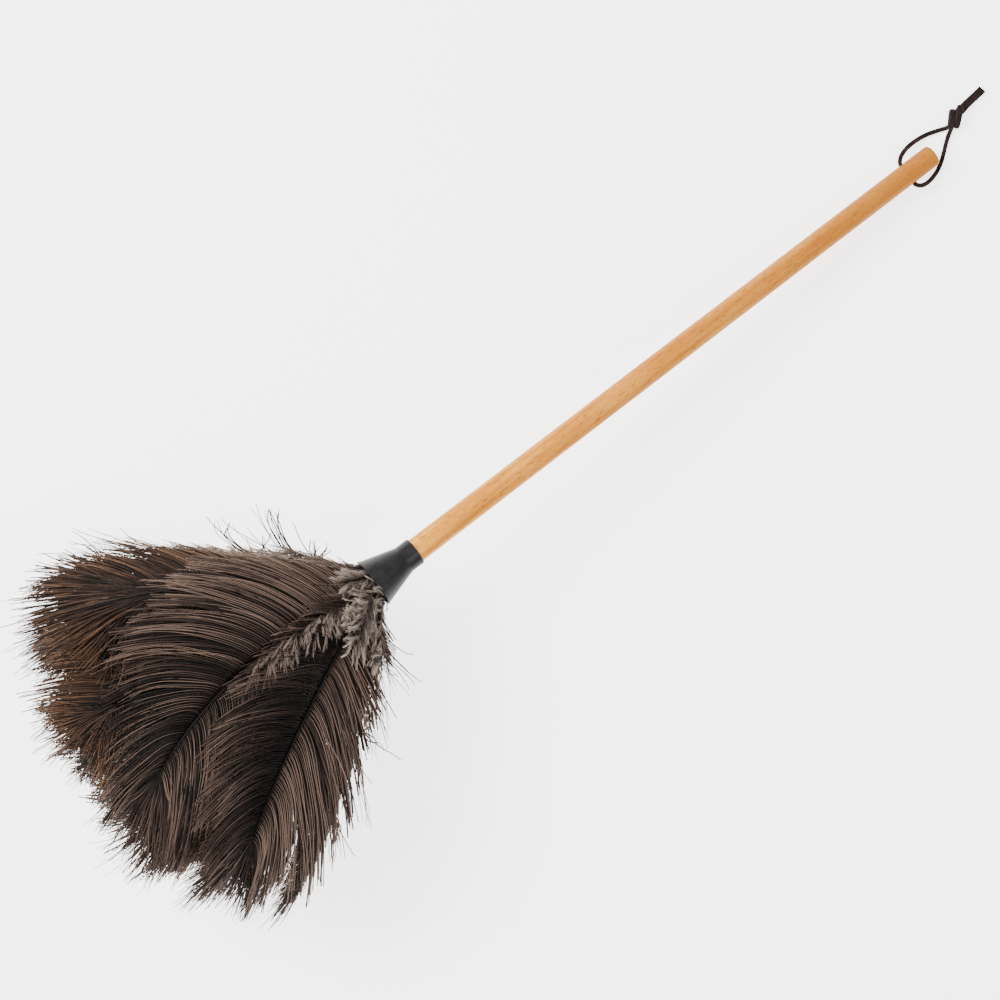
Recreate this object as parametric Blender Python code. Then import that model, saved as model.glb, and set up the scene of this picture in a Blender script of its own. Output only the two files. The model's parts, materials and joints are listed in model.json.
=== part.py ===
"""A feather duster that lies on a table: turned beech handle, black collar, bound feathers and hanging lace.

The handle lies along X with its butt towards +X and the feathers towards -X, and +Z is up.
The butt and the lowest feathers rest on the surface z = 0.
"""

import math

import bmesh
import bpy
import numpy as np
from mathutils import Vector

# Fits
FIT_GAP = 0.0003
CUT_OVERRUN = 0.002

# Handle
HANDLE_DIAMETER_AT_COLLAR = 0.0180
HANDLE_DIAMETER_AT_BUTT = 0.0163
HANDLE_SHOWN_LENGTH = 0.480
HANDLE_TILT_DEG = 7.5
BUTT_EDGE_RADIUS = 0.0022
SPIGOT_DIAMETER = 0.0098
SPIGOT_CHAMFER = 0.0008
SPIGOT_SHORT_OF_MOUTH = 0.0015
LACE_HOLE_DIAMETER = 0.0042
LACE_HOLE_FROM_BUTT = 0.0246

# Collar
COLLAR_WALL = 0.00115
COLLAR_CONE_LENGTH = 0.0278
COLLAR_NECK_LENGTH = 0.0106
COLLAR_MOUTH_ROOM = 0.0071
COLLAR_RIM_BEAD = 0.0006
COLLAR_EDGE_RADIUS = 0.0004

# Quills and the twine that binds them round the spigot
QUILL_DIAMETER = 0.0024
DOWN_QUILL_DIAMETER = 0.0018
QUILL_FOOT_ROOM = 0.0006
TWINE_DIAMETER = 0.0014
TWINE_PITCH = 0.0020
TWINE_TURNS = 3
TWINE_POINTS_PER_TURN = 24
TWINE_BEVEL_RESOLUTION = 1

# The bouquet as a whole; its flare eases off by the ease share over the reach
FLARE_START = 0.0065
FLARE_EASE_SHARE = 0.60
HEAD_REACH = 0.2440
SETTLE_RUN = 0.0600
DROOP = 0.0476
DROOP_SIDE_SHARE = 1.6
SQUASH_SHARE = 0.62
TOP_HEIGHT = 0.1100
UNDERSIDE_DEPTH = 0.0648
SIDE_SHARE = 0.95
# A feather leans aside over its first run past the collar and sways with a power of its run near the tip
LEAN_RUN = 0.0200
SWAY_POWER = 3
SHINGLE_AT_VANE = 0.0036
SHINGLE_RISE_SHARE = 0.054
VANE_THICKNESS = 0.00045
RACHIS_DIAMETER_AT_VANE = 0.0018
RACHIS_DIAMETER_AT_TIP = 0.0008

# Outer feathers
OUTER_FLARE_DEG = 61.0
OUTER_FLARE_RUN = 0.0240
OUTER_BARB_SPREAD = 0.0590
OUTER_VANE_START = 0.0290
OUTER_AZIMUTHS_DEG = (0.0, 45.0, 90.0, 135.0, 180.0, 225.0, 270.0, 315.0)
OUTER_LEANS_DEG = (4.0, 18.0, 6.0, 2.0, 0.0, 0.0, 0.0, 0.0)
OUTER_SWAYS_DEG = (-3.0, -20.0, -18.0, 4.0, 2.0, -1.0, 2.0, 1.0)
OUTER_LENGTH_SHARES = (0.97, 0.99, 0.98, 0.97, 1.0, 0.98, 0.95, 0.97)
OUTER_CLUMPS_PER_SIDE = 8

# Middle feathers
MIDDLE_FLARE_DEG = 43.0
MIDDLE_FLARE_RUN = 0.0260
MIDDLE_BARB_SPREAD = 0.0520
MIDDLE_VANE_START = 0.0440
MIDDLE_AZIMUTHS_DEG = (22.5, 67.5, 112.5, 157.5, 202.5, 247.5, 292.5, 337.5)
MIDDLE_LEANS_DEG = (0.0, 0.0, 0.0, 0.0, 0.0, 0.0, 0.0, 0.0)
MIDDLE_SWAYS_DEG = (2.0, -2.0, 2.0, -2.0, 3.0, -1.0, 2.0, -1.0)
MIDDLE_LENGTH_SHARES = (0.99, 1.0, 0.98, 1.0, 0.97, 0.99, 0.96, 0.98)
MIDDLE_CLUMPS_PER_SIDE = 6

# Inner feathers
INNER_FLARE_DEG = 26.0
INNER_FLARE_RUN = 0.0300
INNER_BARB_SPREAD = 0.0400
INNER_VANE_START = 0.0620
INNER_AZIMUTHS_DEG = (0.0, 90.0, 180.0, 225.0, 315.0)
INNER_LEANS_DEG = (0.0, 0.0, 0.0, 0.0, 0.0)
INNER_SWAYS_DEG = (6.0, -8.0, 7.0, -5.0, 4.0)
INNER_LENGTH_SHARES = (0.98, 1.0, 0.99, 0.97, 0.98)
INNER_CLUMPS_PER_SIDE = 5

# Core feathers
CORE_FLARE_DEG = 9.0
CORE_FLARE_RUN = 0.0300
CORE_BARB_SPREAD = 0.0220
CORE_VANE_START = 0.0900
CORE_AZIMUTHS_DEG = (45.0, 135.0, 270.0)
CORE_LEANS_DEG = (0.0, 0.0, 0.0)
CORE_SWAYS_DEG = (-5.0, 6.0, 4.0)
CORE_LENGTH_SHARES = (0.99, 1.0, 0.97)
CORE_CLUMPS_PER_SIDE = 4

# Short down feathers round the mouth of the collar
DOWN_FLARE_DEG = 68.0
DOWN_FLARE_RUN = 0.0150
DOWN_REACH = 0.0860
DOWN_BARB_SPREAD = 0.0270
DOWN_VANE_START = 0.0125
DOWN_AZIMUTHS_DEG = (22.5, 67.5, 112.5, 157.5, 202.5, 247.5, 292.5, 337.5)
DOWN_LEANS_DEG = (0.0, 0.0, 0.0, 0.0, 0.0, 0.0, 0.0, 0.0)
DOWN_SWAYS_DEG = (4.0, -5.0, 6.0, -4.0, 5.0, -6.0, 4.0, -5.0)
DOWN_LENGTH_SHARES = (0.70, 0.56, 0.60, 0.74, 0.64, 0.50, 0.48, 0.64)
DOWN_CLUMPS_PER_SIDE = 3

# Clumps of barbs: forward sweep over spread, then width over spacing, and where a clump bends
SWEEP_AT_VANE_SHARE = 0.90
SWEEP_AT_TIP_SHARE = 1.05
CLUMP_HALF_WIDTH_SHARE = 0.42
CLUMP_BEND_SPREAD_SHARE = 0.58
CLUMP_BEND_SWEEP_SHARE = 0.40
# A vane is widest where its run, led by the first share, has reached half of the second
LEAST_SPREAD_SHARE = 0.30
SPREAD_LEAD_SHARE = 0.10
SPREAD_RUN_SHARE = 1.25
# The tuft at a feather's tip: its length over the spread, and its widest place
TIP_TUFT_SHARE = 0.62
TUFT_SHOULDER_SHARE = 0.45
TUFT_HALF_WIDTH_SHARE = 0.22
SHAFT_STEPS = 2
STEM_CORNERS_DEG = (150.0, 90.0, 30.0, -30.0, -90.0, -150.0)
# The short step over which a vane's directions are measured, over the quill's diameter
NUDGE_SHARE = 0.25

# Lace
LACE_DIAMETER = 0.0026
LACE_BEVEL_RESOLUTION = 2
KNOT_LENGTH = 0.0190
KNOT_WIDTH = 0.0086
KNOT_HEIGHT = 0.0074
KNOT_WAIST_DEPTH = 0.0005
KNOT_SWELL_SHARE = 0.36
KNOT_TURN_DEG = 27.7
KNOT_RINGS = 14
KNOT_SEGMENTS = 20

# Turned pieces
ROUND_SEGMENTS = 40
HOLE_SEGMENTS = 16
EDGE_STEPS = 4
SHARP_EDGE_DEG = 40.0
COLLAR_SHARP_EDGE_DEG = 30.0
PROFILE_STEPS = 160
ROUTE_STEPS = 24

# The lace's route from knot to knot through the hole, and its two tails, from the middle of the hole
LACE_LOOP_ROUTE = (
    (0.0444, 0.0097, -0.0089), (0.0386, 0.0119, -0.0092), (0.0300, 0.0146, -0.0093),
    (0.0212, 0.0158, -0.0082), (0.0130, 0.0156, -0.0054), (0.0066, 0.0141, -0.0024),
    (0.0021, 0.0115, -0.0005), (0.0002, 0.0086, 0.0), (0.0, 0.0045, 0.0), (0.0, 0.0, 0.0),
    (0.0, -0.0045, 0.0), (0.0001, -0.0084, 0.0), (0.0012, -0.0110, -0.0002), (0.0038, -0.0130, -0.0012),
    (0.0078, -0.0138, -0.0031), (0.0132, -0.0134, -0.0056), (0.0200, -0.0115, -0.0082),
    (0.0268, -0.0079, -0.0093), (0.0326, -0.0035, -0.0093), (0.0376, 0.0006, -0.0092),
    (0.0427, 0.0043, -0.0089),
)
LACE_TAIL_A_ROUTE = (
    (0.0614, 0.0150, -0.0084), (0.0660, 0.0158, -0.0091), (0.0712, 0.0164, -0.0093),
    (0.0760, 0.0168, -0.0093), (0.0830, 0.0176, -0.0093),
)
LACE_TAIL_B_ROUTE = (
    (0.0614, 0.0118, -0.0084), (0.0664, 0.0128, -0.0091), (0.0716, 0.0135, -0.0093),
    (0.0763, 0.0139, -0.0093), (0.0836, 0.0147, -0.0093),
)
LACE_STEP = 0.0032
KNOT_CENTRE = (0.0529, 0.0112, -0.0069)


# Sizes that follow from the ones above
TILT = math.radians(HANDLE_TILT_DEG)
STICK_LENGTH = COLLAR_CONE_LENGTH + COLLAR_NECK_LENGTH + HANDLE_SHOWN_LENGTH
INNER_RING = SPIGOT_DIAMETER / 2 + FIT_GAP + QUILL_DIAMETER / 2
RING_STEP = QUILL_DIAMETER + FIT_GAP
HALF_TURN_OF_RING = math.pi / len(OUTER_AZIMUTHS_DEG)
MIDDLE_RING = INNER_RING * math.cos(HALF_TURN_OF_RING) + math.sqrt(
    max(RING_STEP ** 2 - (INNER_RING * math.sin(HALF_TURN_OF_RING)) ** 2, 0)
)
OUTER_RING = INNER_RING + RING_STEP
DOWN_RING = MIDDLE_RING + (QUILL_DIAMETER + DOWN_QUILL_DIAMETER) / 2 + FIT_GAP
BUNDLE_RADIUS = max(OUTER_RING + QUILL_DIAMETER / 2, DOWN_RING + DOWN_QUILL_DIAMETER / 2)
NECK_BORE = HANDLE_DIAMETER_AT_COLLAR / 2 + FIT_GAP
MOUTH_BORE = BUNDLE_RADIUS + COLLAR_MOUTH_ROOM
TWINE_RADIUS = BUNDLE_RADIUS + FIT_GAP + TWINE_DIAMETER / 2


def cone_depth(bore):
    """How far behind its mouth the collar's inner cone has narrowed to a bore."""
    return COLLAR_CONE_LENGTH * (MOUTH_BORE - bore) / (MOUTH_BORE - NECK_BORE)


QUILL_FOOT = cone_depth(BUNDLE_RADIUS + QUILL_FOOT_ROOM)
TWINE_END = cone_depth(TWINE_RADIUS + TWINE_DIAMETER / 2 + FIT_GAP)

# The mouth's middle, set so that the butt's rounded edge touches the surface
MOUTH_HEIGHT = (
    (STICK_LENGTH - BUTT_EDGE_RADIUS) * math.sin(TILT)
    + (HANDLE_DIAMETER_AT_BUTT / 2 - BUTT_EDGE_RADIUS) * math.cos(TILT)
    + BUTT_EDGE_RADIUS
)
MOUTH_X = (HEAD_REACH - STICK_LENGTH * math.cos(TILT)) / 2


def make_material(name, colour, roughness, metallic=0.0):
    material = bpy.data.materials.new(name)
    material.use_nodes = True
    shader = material.node_tree.nodes["Principled BSDF"]
    shader.inputs["Base Color"].default_value = (*colour, 1.0)
    shader.inputs["Roughness"].default_value = roughness
    shader.inputs["Metallic"].default_value = metallic
    material.diffuse_color = (*colour, 1.0)
    return material


def add_object(name, mesh, material, parent=None, location=(0.0, 0.0, 0.0)):
    obj = bpy.data.objects.new(name, mesh)
    bpy.context.scene.collection.objects.link(obj)
    obj.data.materials.append(material)
    obj.location = location
    obj.parent = parent
    return obj


def shade_round(mesh, sharp_deg=SHARP_EDGE_DEG):
    mesh.shade_smooth()
    mesh.set_sharp_from_angle(angle=math.radians(sharp_deg))


def turned_mesh(name, profile, segments):
    """Turn a closed outline of (x, radius) points about the X axis; a radius of zero closes on the axis."""
    shape = bmesh.new()
    rings = []
    for x, radius in profile:
        if radius == 0.0:
            rings.append([shape.verts.new((x, 0.0, 0.0))])
            continue
        turns = [2 * math.pi * k / segments for k in range(segments)]
        rings.append([shape.verts.new((x, radius * math.cos(t), radius * math.sin(t))) for t in turns])
    for ring, following in zip(rings, rings[1:] + rings[:1]):
        if len(ring) == 1 and len(following) == 1:
            continue
        for k in range(segments):
            after = (k + 1) % segments
            corners = [ring[k % len(ring)], ring[after % len(ring)]]
            corners += [following[after % len(following)], following[k % len(following)]]
            shape.faces.new(list(dict.fromkeys(corners)))
    bmesh.ops.recalc_face_normals(shape, faces=shape.faces)
    mesh = bpy.data.meshes.new(name)
    shape.to_mesh(mesh)
    shape.free()
    return mesh


def arc_points(centre_x, centre_r, radius, start_deg, end_deg, steps):
    """Points of a rounded edge in an (x, radius) outline."""
    turns = [math.radians(start_deg + (end_deg - start_deg) * k / steps) for k in range(steps + 1)]
    return [(centre_x + radius * math.cos(t), centre_r + radius * math.sin(t)) for t in turns]


def smooth_route(points, step):
    """Places about a step apart on the smooth curve through a route's points."""
    route = np.array(points)
    before = np.vstack([2 * route[0] - route[1], route, 2 * route[-1] - route[-2]])
    fine = []
    for p0, p1, p2, p3 in zip(before, before[1:], before[2:], before[3:]):
        for t in np.linspace(0.0, 1.0, ROUTE_STEPS, endpoint=False):
            fine.append(
                0.5 * (2 * p1 + (p2 - p0) * t + (2 * p0 - 5 * p1 + 4 * p2 - p3) * t ** 2
                       + (3 * p1 - p0 - 3 * p2 + p3) * t ** 3)
            )
    fine = np.array(fine + [route[-1]])
    run = np.concatenate(([0.0], np.cumsum(np.linalg.norm(np.diff(fine, axis=0), axis=1))))
    wanted = np.linspace(0.0, run[-1], max(int(round(run[-1] / step)), 2) + 1)
    return np.stack([np.interp(wanted, run, fine[:, axis]) for axis in range(3)], axis=1), run[-1]


def tube(name, points, diameter, resolution, material, parent):
    """A capped round tube along points."""
    curve = bpy.data.curves.new(name, "CURVE")
    curve.dimensions = "3D"
    curve.bevel_depth = diameter / 2
    curve.bevel_resolution = resolution
    curve.use_fill_caps = True
    spline = curve.splines.new("POLY")
    spline.points.add(len(points) - 1)
    for place, point in zip(spline.points, points):
        place.co = (*[float(value) for value in point], 1.0)
    return add_object(name, curve, material, parent)


def make_handle(material, stick):
    """Beech dowel, turned down to a spigot inside the collar and drilled across near its butt."""
    collar_end = COLLAR_CONE_LENGTH + COLLAR_NECK_LENGTH
    shoulder = QUILL_FOOT + FIT_GAP
    radius = HANDLE_DIAMETER_AT_COLLAR / 2
    butt_radius = HANDLE_DIAMETER_AT_BUTT / 2
    spigot = SPIGOT_DIAMETER / 2
    outline = [
        (SPIGOT_SHORT_OF_MOUTH, 0.0),
        (SPIGOT_SHORT_OF_MOUTH, spigot - SPIGOT_CHAMFER),
        (SPIGOT_SHORT_OF_MOUTH + SPIGOT_CHAMFER, spigot),
        (shoulder, spigot),
        (shoulder, radius - SPIGOT_CHAMFER),
        (shoulder + SPIGOT_CHAMFER, radius),
        (collar_end, radius),
    ]
    rounding = BUTT_EDGE_RADIUS
    outline += arc_points(STICK_LENGTH - rounding, butt_radius - rounding, rounding, 90.0, 0.0, EDGE_STEPS)
    outline.append((STICK_LENGTH, 0.0))
    mesh = turned_mesh("handle", outline, ROUND_SEGMENTS)
    handle = add_object("handle", mesh, material, stick)

    drill = bmesh.new()
    bmesh.ops.create_cone(
        drill, cap_ends=True, segments=HOLE_SEGMENTS, radius1=LACE_HOLE_DIAMETER / 2,
        radius2=LACE_HOLE_DIAMETER / 2, depth=HANDLE_DIAMETER_AT_COLLAR + 2 * CUT_OVERRUN,
    )
    drill_mesh = bpy.data.meshes.new("lace_hole_drill")
    drill.to_mesh(drill_mesh)
    drill.free()
    hole = STICK_LENGTH - LACE_HOLE_FROM_BUTT
    cutter = add_object("lace_hole_drill", drill_mesh, material, stick, (hole, 0.0, 0.0))
    cutter.rotation_euler = (math.pi / 2, 0.0, 0.0)
    cutter.hide_render = True
    cutter.display_type = "WIRE"
    cut = handle.modifiers.new("lace hole", "BOOLEAN")
    cut.operation = "DIFFERENCE"
    cut.solver = "EXACT"
    cut.object = cutter
    shade_round(mesh)
    return handle


def make_collar(material, stick):
    """Black collar: a straight neck on the handle and a thin cone whose mouth has a rolled rim."""
    end = COLLAR_CONE_LENGTH + COLLAR_NECK_LENGTH
    neck = NECK_BORE + COLLAR_WALL
    mouth = MOUTH_BORE + COLLAR_WALL
    edge = COLLAR_EDGE_RADIUS
    bead = COLLAR_RIM_BEAD
    slope = (mouth - neck) / COLLAR_CONE_LENGTH
    outline = [(2 * bead, MOUTH_BORE - 2 * bead * slope), (bead / 2, MOUTH_BORE)]
    outline += [(0.0, MOUTH_BORE + bead / 2), (0.0, mouth), (bead / 2, mouth + bead / 2)]
    outline += [(3 * bead / 2, mouth + bead / 2)]
    outline += [(2 * bead, mouth - 2 * bead * slope), (COLLAR_CONE_LENGTH - edge, neck + edge * slope)]
    outline += [(COLLAR_CONE_LENGTH + edge, neck)]
    outline += [(end - edge, neck), (end, neck - edge), (end, NECK_BORE), (COLLAR_CONE_LENGTH, NECK_BORE)]
    mesh = turned_mesh("collar", outline, ROUND_SEGMENTS)
    shade_round(mesh, COLLAR_SHARP_EDGE_DEG)
    return add_object("collar", mesh, material, stick)


def make_binding(material, stick):
    """Waxed twine wound round the bundle of quills, one unbroken helix."""
    points = []
    start = TWINE_END - TWINE_DIAMETER / 2 - TWINE_TURNS * TWINE_PITCH
    for k in range(TWINE_TURNS * TWINE_POINTS_PER_TURN + 1):
        turn = 2 * math.pi * k / TWINE_POINTS_PER_TURN
        x = start + TWINE_PITCH * k / TWINE_POINTS_PER_TURN
        points.append((x, TWINE_RADIUS * math.cos(turn), TWINE_RADIUS * math.sin(turn)))
    least = min(
        math.dist(a, b)
        for i, a in enumerate(points)
        for b in points[i + TWINE_POINTS_PER_TURN // 2:]
    )
    print("binding twine: least gap to itself", round(least - TWINE_DIAMETER, 6), "m")
    return tube("binding_twine", points, TWINE_DIAMETER, TWINE_BEVEL_RESOLUTION, material, stick)


class Layer:
    """The turned surface one row of feathers lies on: it flares from the collar and eases towards its end."""

    def __init__(self, ring, flare_deg, flare_run):
        reach = 2 * HEAD_REACH
        step = reach / PROFILE_STEPS
        self.run = np.linspace(0.0, reach, PROFILE_STEPS + 1)
        ease = 1 - FLARE_EASE_SHARE * self.run / HEAD_REACH
        self.slope = math.radians(flare_deg) * (1 - np.exp(-self.run / flare_run)) * ease
        middle = (self.slope[1:] + self.slope[:-1]) / 2
        self.ahead = np.concatenate(([0.0], np.cumsum(np.cos(middle)))) * step - FLARE_START
        self.radius = np.concatenate(([0.0], np.cumsum(np.sin(middle)))) * step + ring

    def at(self, run):
        """Distance ahead of the mouth, radius and slope at a run along the surface."""
        if run < 0.0:
            return run - FLARE_START, self.radius[0], 0.0
        return tuple(float(np.interp(run, self.run, line)) for line in (self.ahead, self.radius, self.slope))

    def run_for_reach(self, reach, azimuth):
        """The run at which a feather reaches a plan distance from the mouth."""
        side = SIDE_SHARE * self.radius * math.cos(azimuth)
        return float(np.interp(reach, np.hypot(self.ahead, side), self.run))


def settle(ahead, side, up):
    """Lay the round bouquet down: it flattens below, spreads and droops, the more the further out."""
    grip = min(max(ahead / SETTLE_RUN, 0.0), 1.0)
    grip = grip * grip * (3 - 2 * grip)
    depth = TOP_HEIGHT if up > 0.0 else UNDERSIDE_DEPTH
    pressed = depth * math.tanh(SQUASH_SHARE * up / depth)
    beyond = max(ahead, 0.0)
    sag = DROOP * beyond * math.hypot(beyond, DROOP_SIDE_SHARE * side) / HEAD_REACH ** 2
    up = up + grip * (pressed - up) - sag
    side = side * (1 - grip * (1 - SIDE_SHARE))
    return Vector((
        MOUTH_X - ahead * math.cos(TILT) + up * math.sin(TILT),
        -side,
        MOUTH_HEIGHT + ahead * math.sin(TILT) + up * math.cos(TILT),
    ))


class Feather:
    """One feather: a hexagonal quill and rachis with flat pointed clumps of barbs along both sides."""

    def __init__(self, layer, turns_deg, reach, vane_start, spread, quill_diameter, clumps):
        azimuth_deg, lean_deg, sway_deg = turns_deg
        self.layer = layer
        self.azimuth = math.radians(azimuth_deg)
        self.lean = math.radians(lean_deg)
        self.sway = math.radians(sway_deg)
        self.end = layer.run_for_reach(reach, self.azimuth)
        self.vane_start = vane_start
        self.spread = spread
        self.quill_diameter = quill_diameter
        self.clumps = clumps
        self.tip = self.end - TIP_TUFT_SHARE * spread
        self.shape = bmesh.new()

    def surface(self, run, across):
        """A point of the vane's middle surface, which tilts like a shingle over the next feather's."""
        outside = max(run, 0.0)
        leaning = self.lean * (1 - math.exp(-outside / LEAN_RUN))
        centre = self.azimuth + leaning + self.sway * (outside / self.end) ** SWAY_POWER
        radius = self.layer.at(run)[1]
        azimuth = centre + across / radius
        shingle = SHINGLE_AT_VANE + SHINGLE_RISE_SHARE * max(run - self.vane_start, 0.0)
        lift = shingle * (azimuth - centre)
        ahead, radius, slope = self.layer.at(run)
        ahead -= lift * math.sin(slope)
        radius += lift * math.cos(slope)
        return settle(ahead, radius * math.cos(azimuth), radius * math.sin(azimuth))

    def frame(self, run, across):
        """The point, the direction across and the direction out of the vane."""
        nudge = NUDGE_SHARE * self.quill_diameter
        point = self.surface(run, across)
        along = self.surface(run + nudge, across) - self.surface(run - nudge, across)
        sideways = self.surface(run, across + nudge) - self.surface(run, across - nudge)
        out = along.cross(sideways).normalized()
        return point, out.cross(along).normalized(), out

    def stem_diameter(self, run):
        if run <= 0.0:
            return self.quill_diameter
        thick = min(RACHIS_DIAMETER_AT_VANE, self.quill_diameter)
        if run < self.vane_start:
            return self.quill_diameter + (thick - self.quill_diameter) * run / self.vane_start
        share = (run - self.vane_start) / (self.tip - self.vane_start)
        return thick + (RACHIS_DIAMETER_AT_TIP - thick) * share

    def section(self, run):
        """Six corners round the stem: left top, ridge, right top, right bottom, keel and left bottom."""
        point, across, out = self.frame(run, 0.0)
        radius = self.stem_diameter(run) / 2
        corners = []
        for turn_deg in STEM_CORNERS_DEG:
            turn = math.radians(turn_deg)
            corners.append(self.shape.verts.new(
                point + across * (radius * math.cos(turn)) + out * (radius * math.sin(turn))
            ))
        return corners

    def pair(self, run, across):
        """A corner of a clump on the vane's upper face and the one below it."""
        point, _, out = self.frame(run, across)
        half = out * (VANE_THICKNESS / 2)
        return self.shape.verts.new(point + half), self.shape.verts.new(point - half)

    def clump_size(self, share):
        """Spread and forward sweep of the clump at a share of the vane's length."""
        swell = math.sin(math.pi * min((share + SPREAD_LEAD_SHARE) / SPREAD_RUN_SHARE, 1.0))
        spread = self.spread * (LEAST_SPREAD_SHARE + (1 - LEAST_SPREAD_SHARE) * swell)
        sweep = spread * (SWEEP_AT_VANE_SHARE + (SWEEP_AT_TIP_SHARE - SWEEP_AT_VANE_SHARE) * share)
        return spread, sweep

    def add_clump(self, root_a, root_b, run_a, run_b, side):
        """A flat pointed clump of barbs that grows from the stem between two of its sections."""
        middle = (run_a + run_b) / 2
        spread, sweep = self.clump_size((middle - self.vane_start) / (self.tip - self.vane_start))
        half = CLUMP_HALF_WIDTH_SHARE * (run_b - run_a)
        bend = middle + CLUMP_BEND_SWEEP_SHARE * sweep
        near = self.pair(bend - half, side * CLUMP_BEND_SPREAD_SHARE * spread)
        far = self.pair(bend + half, side * CLUMP_BEND_SPREAD_SHARE * spread)
        tip = self.pair(middle + sweep, side * spread)
        for level in (0, 1):
            self.shape.faces.new((root_a[level], root_b[level], far[level], near[level]))
            self.shape.faces.new((near[level], far[level], tip[level]))
        outline = (root_a, near, tip, far, root_b)
        for a, b in zip(outline, outline[1:]):
            self.shape.faces.new((a[0], b[0], b[1], a[1]))

    def build(self, name, material):
        foot_run = FLARE_START - QUILL_FOOT
        shaft = [self.vane_start * k / SHAFT_STEPS for k in range(SHAFT_STEPS + 1)]
        step = (self.tip - self.vane_start) / self.clumps
        vane = [self.vane_start + step * k for k in range(1, self.clumps + 1)]
        runs = [foot_run] + shaft + vane
        sections = [self.section(run) for run in runs]
        self.shape.faces.new(sections[0])
        for (run_a, a), (run_b, b) in zip(zip(runs, sections), zip(runs[1:], sections[1:])):
            for k in range(len(a)):
                following = (k + 1) % len(a)
                is_left = k == 5
                is_right = k == 2
                if run_a >= self.vane_start and (is_left or is_right):
                    continue
                self.shape.faces.new((a[k], a[following], b[following], b[k]))
            if run_a >= self.vane_start:
                self.add_clump((a[0], a[5]), (b[0], b[5]), run_a, run_b, -1)
                self.add_clump((a[2], a[3]), (b[2], b[3]), run_a, run_b, 1)
        last = sections[-1]
        tuft = self.end - self.tip
        shoulder = self.tip + TUFT_SHOULDER_SHARE * tuft
        left = self.pair(shoulder, -TUFT_HALF_WIDTH_SHARE * tuft)
        right = self.pair(shoulder, TUFT_HALF_WIDTH_SHARE * tuft)
        tip = self.pair(self.end, 0.0)
        self.shape.faces.new((last[0], last[1], last[2], right[0], left[0]))
        self.shape.faces.new((last[5], last[4], last[3], right[1], left[1]))
        for level in (0, 1):
            self.shape.faces.new((left[level], right[level], tip[level]))
        for a, b in (((last[0], last[5]), left), (left, tip), ((last[2], last[3]), right), (right, tip)):
            self.shape.faces.new((a[0], b[0], b[1], a[1]))
        bmesh.ops.recalc_face_normals(self.shape, faces=self.shape.faces)
        foot = self.frame(foot_run, 0.0)[0]
        bmesh.ops.translate(self.shape, verts=self.shape.verts, vec=-foot)
        mesh = bpy.data.meshes.new(name)
        self.shape.to_mesh(mesh)
        self.shape.free()
        return add_object(name, mesh, material, location=foot)


def make_row(kind, layer, turns, lengths, reach, vane_start, spread, quill, clumps, material):
    """One row of feathers; the turns are the rows of azimuths, leans and sways."""
    for number, (turns_deg, length) in enumerate(zip(zip(*turns), lengths), start=1):
        feather = Feather(layer, turns_deg, reach * length, vane_start, spread, quill, clumps)
        feather.build(f"{kind}_feather_{number}", material)


def make_knot(material, pivot):
    """The overhand knot: a plump barrel of two wraps, turned a little and lying on the surface."""
    outline = [(-KNOT_LENGTH / 2, 0.0)]
    for k in range(1, KNOT_RINGS):
        share = k / KNOT_RINGS
        swell = math.sin(math.pi * share) ** KNOT_SWELL_SHARE
        waist = KNOT_WAIST_DEPTH * (1 - math.cos(4 * math.pi * share)) / 2
        outline.append((KNOT_LENGTH * (share - 0.5), KNOT_WIDTH / 2 * swell - waist))
    outline.append((KNOT_LENGTH / 2, 0.0))
    mesh = turned_mesh("lace_knot", outline, KNOT_SEGMENTS)
    flatten = KNOT_HEIGHT / KNOT_WIDTH
    for vertex in mesh.vertices:
        vertex.co.z *= flatten
    mesh.shade_smooth()
    knot = add_object("lace_knot", mesh, material, pivot, KNOT_CENTRE)
    knot.rotation_euler = (0.0, 0.0, math.radians(KNOT_TURN_DEG))
    return knot


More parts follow.
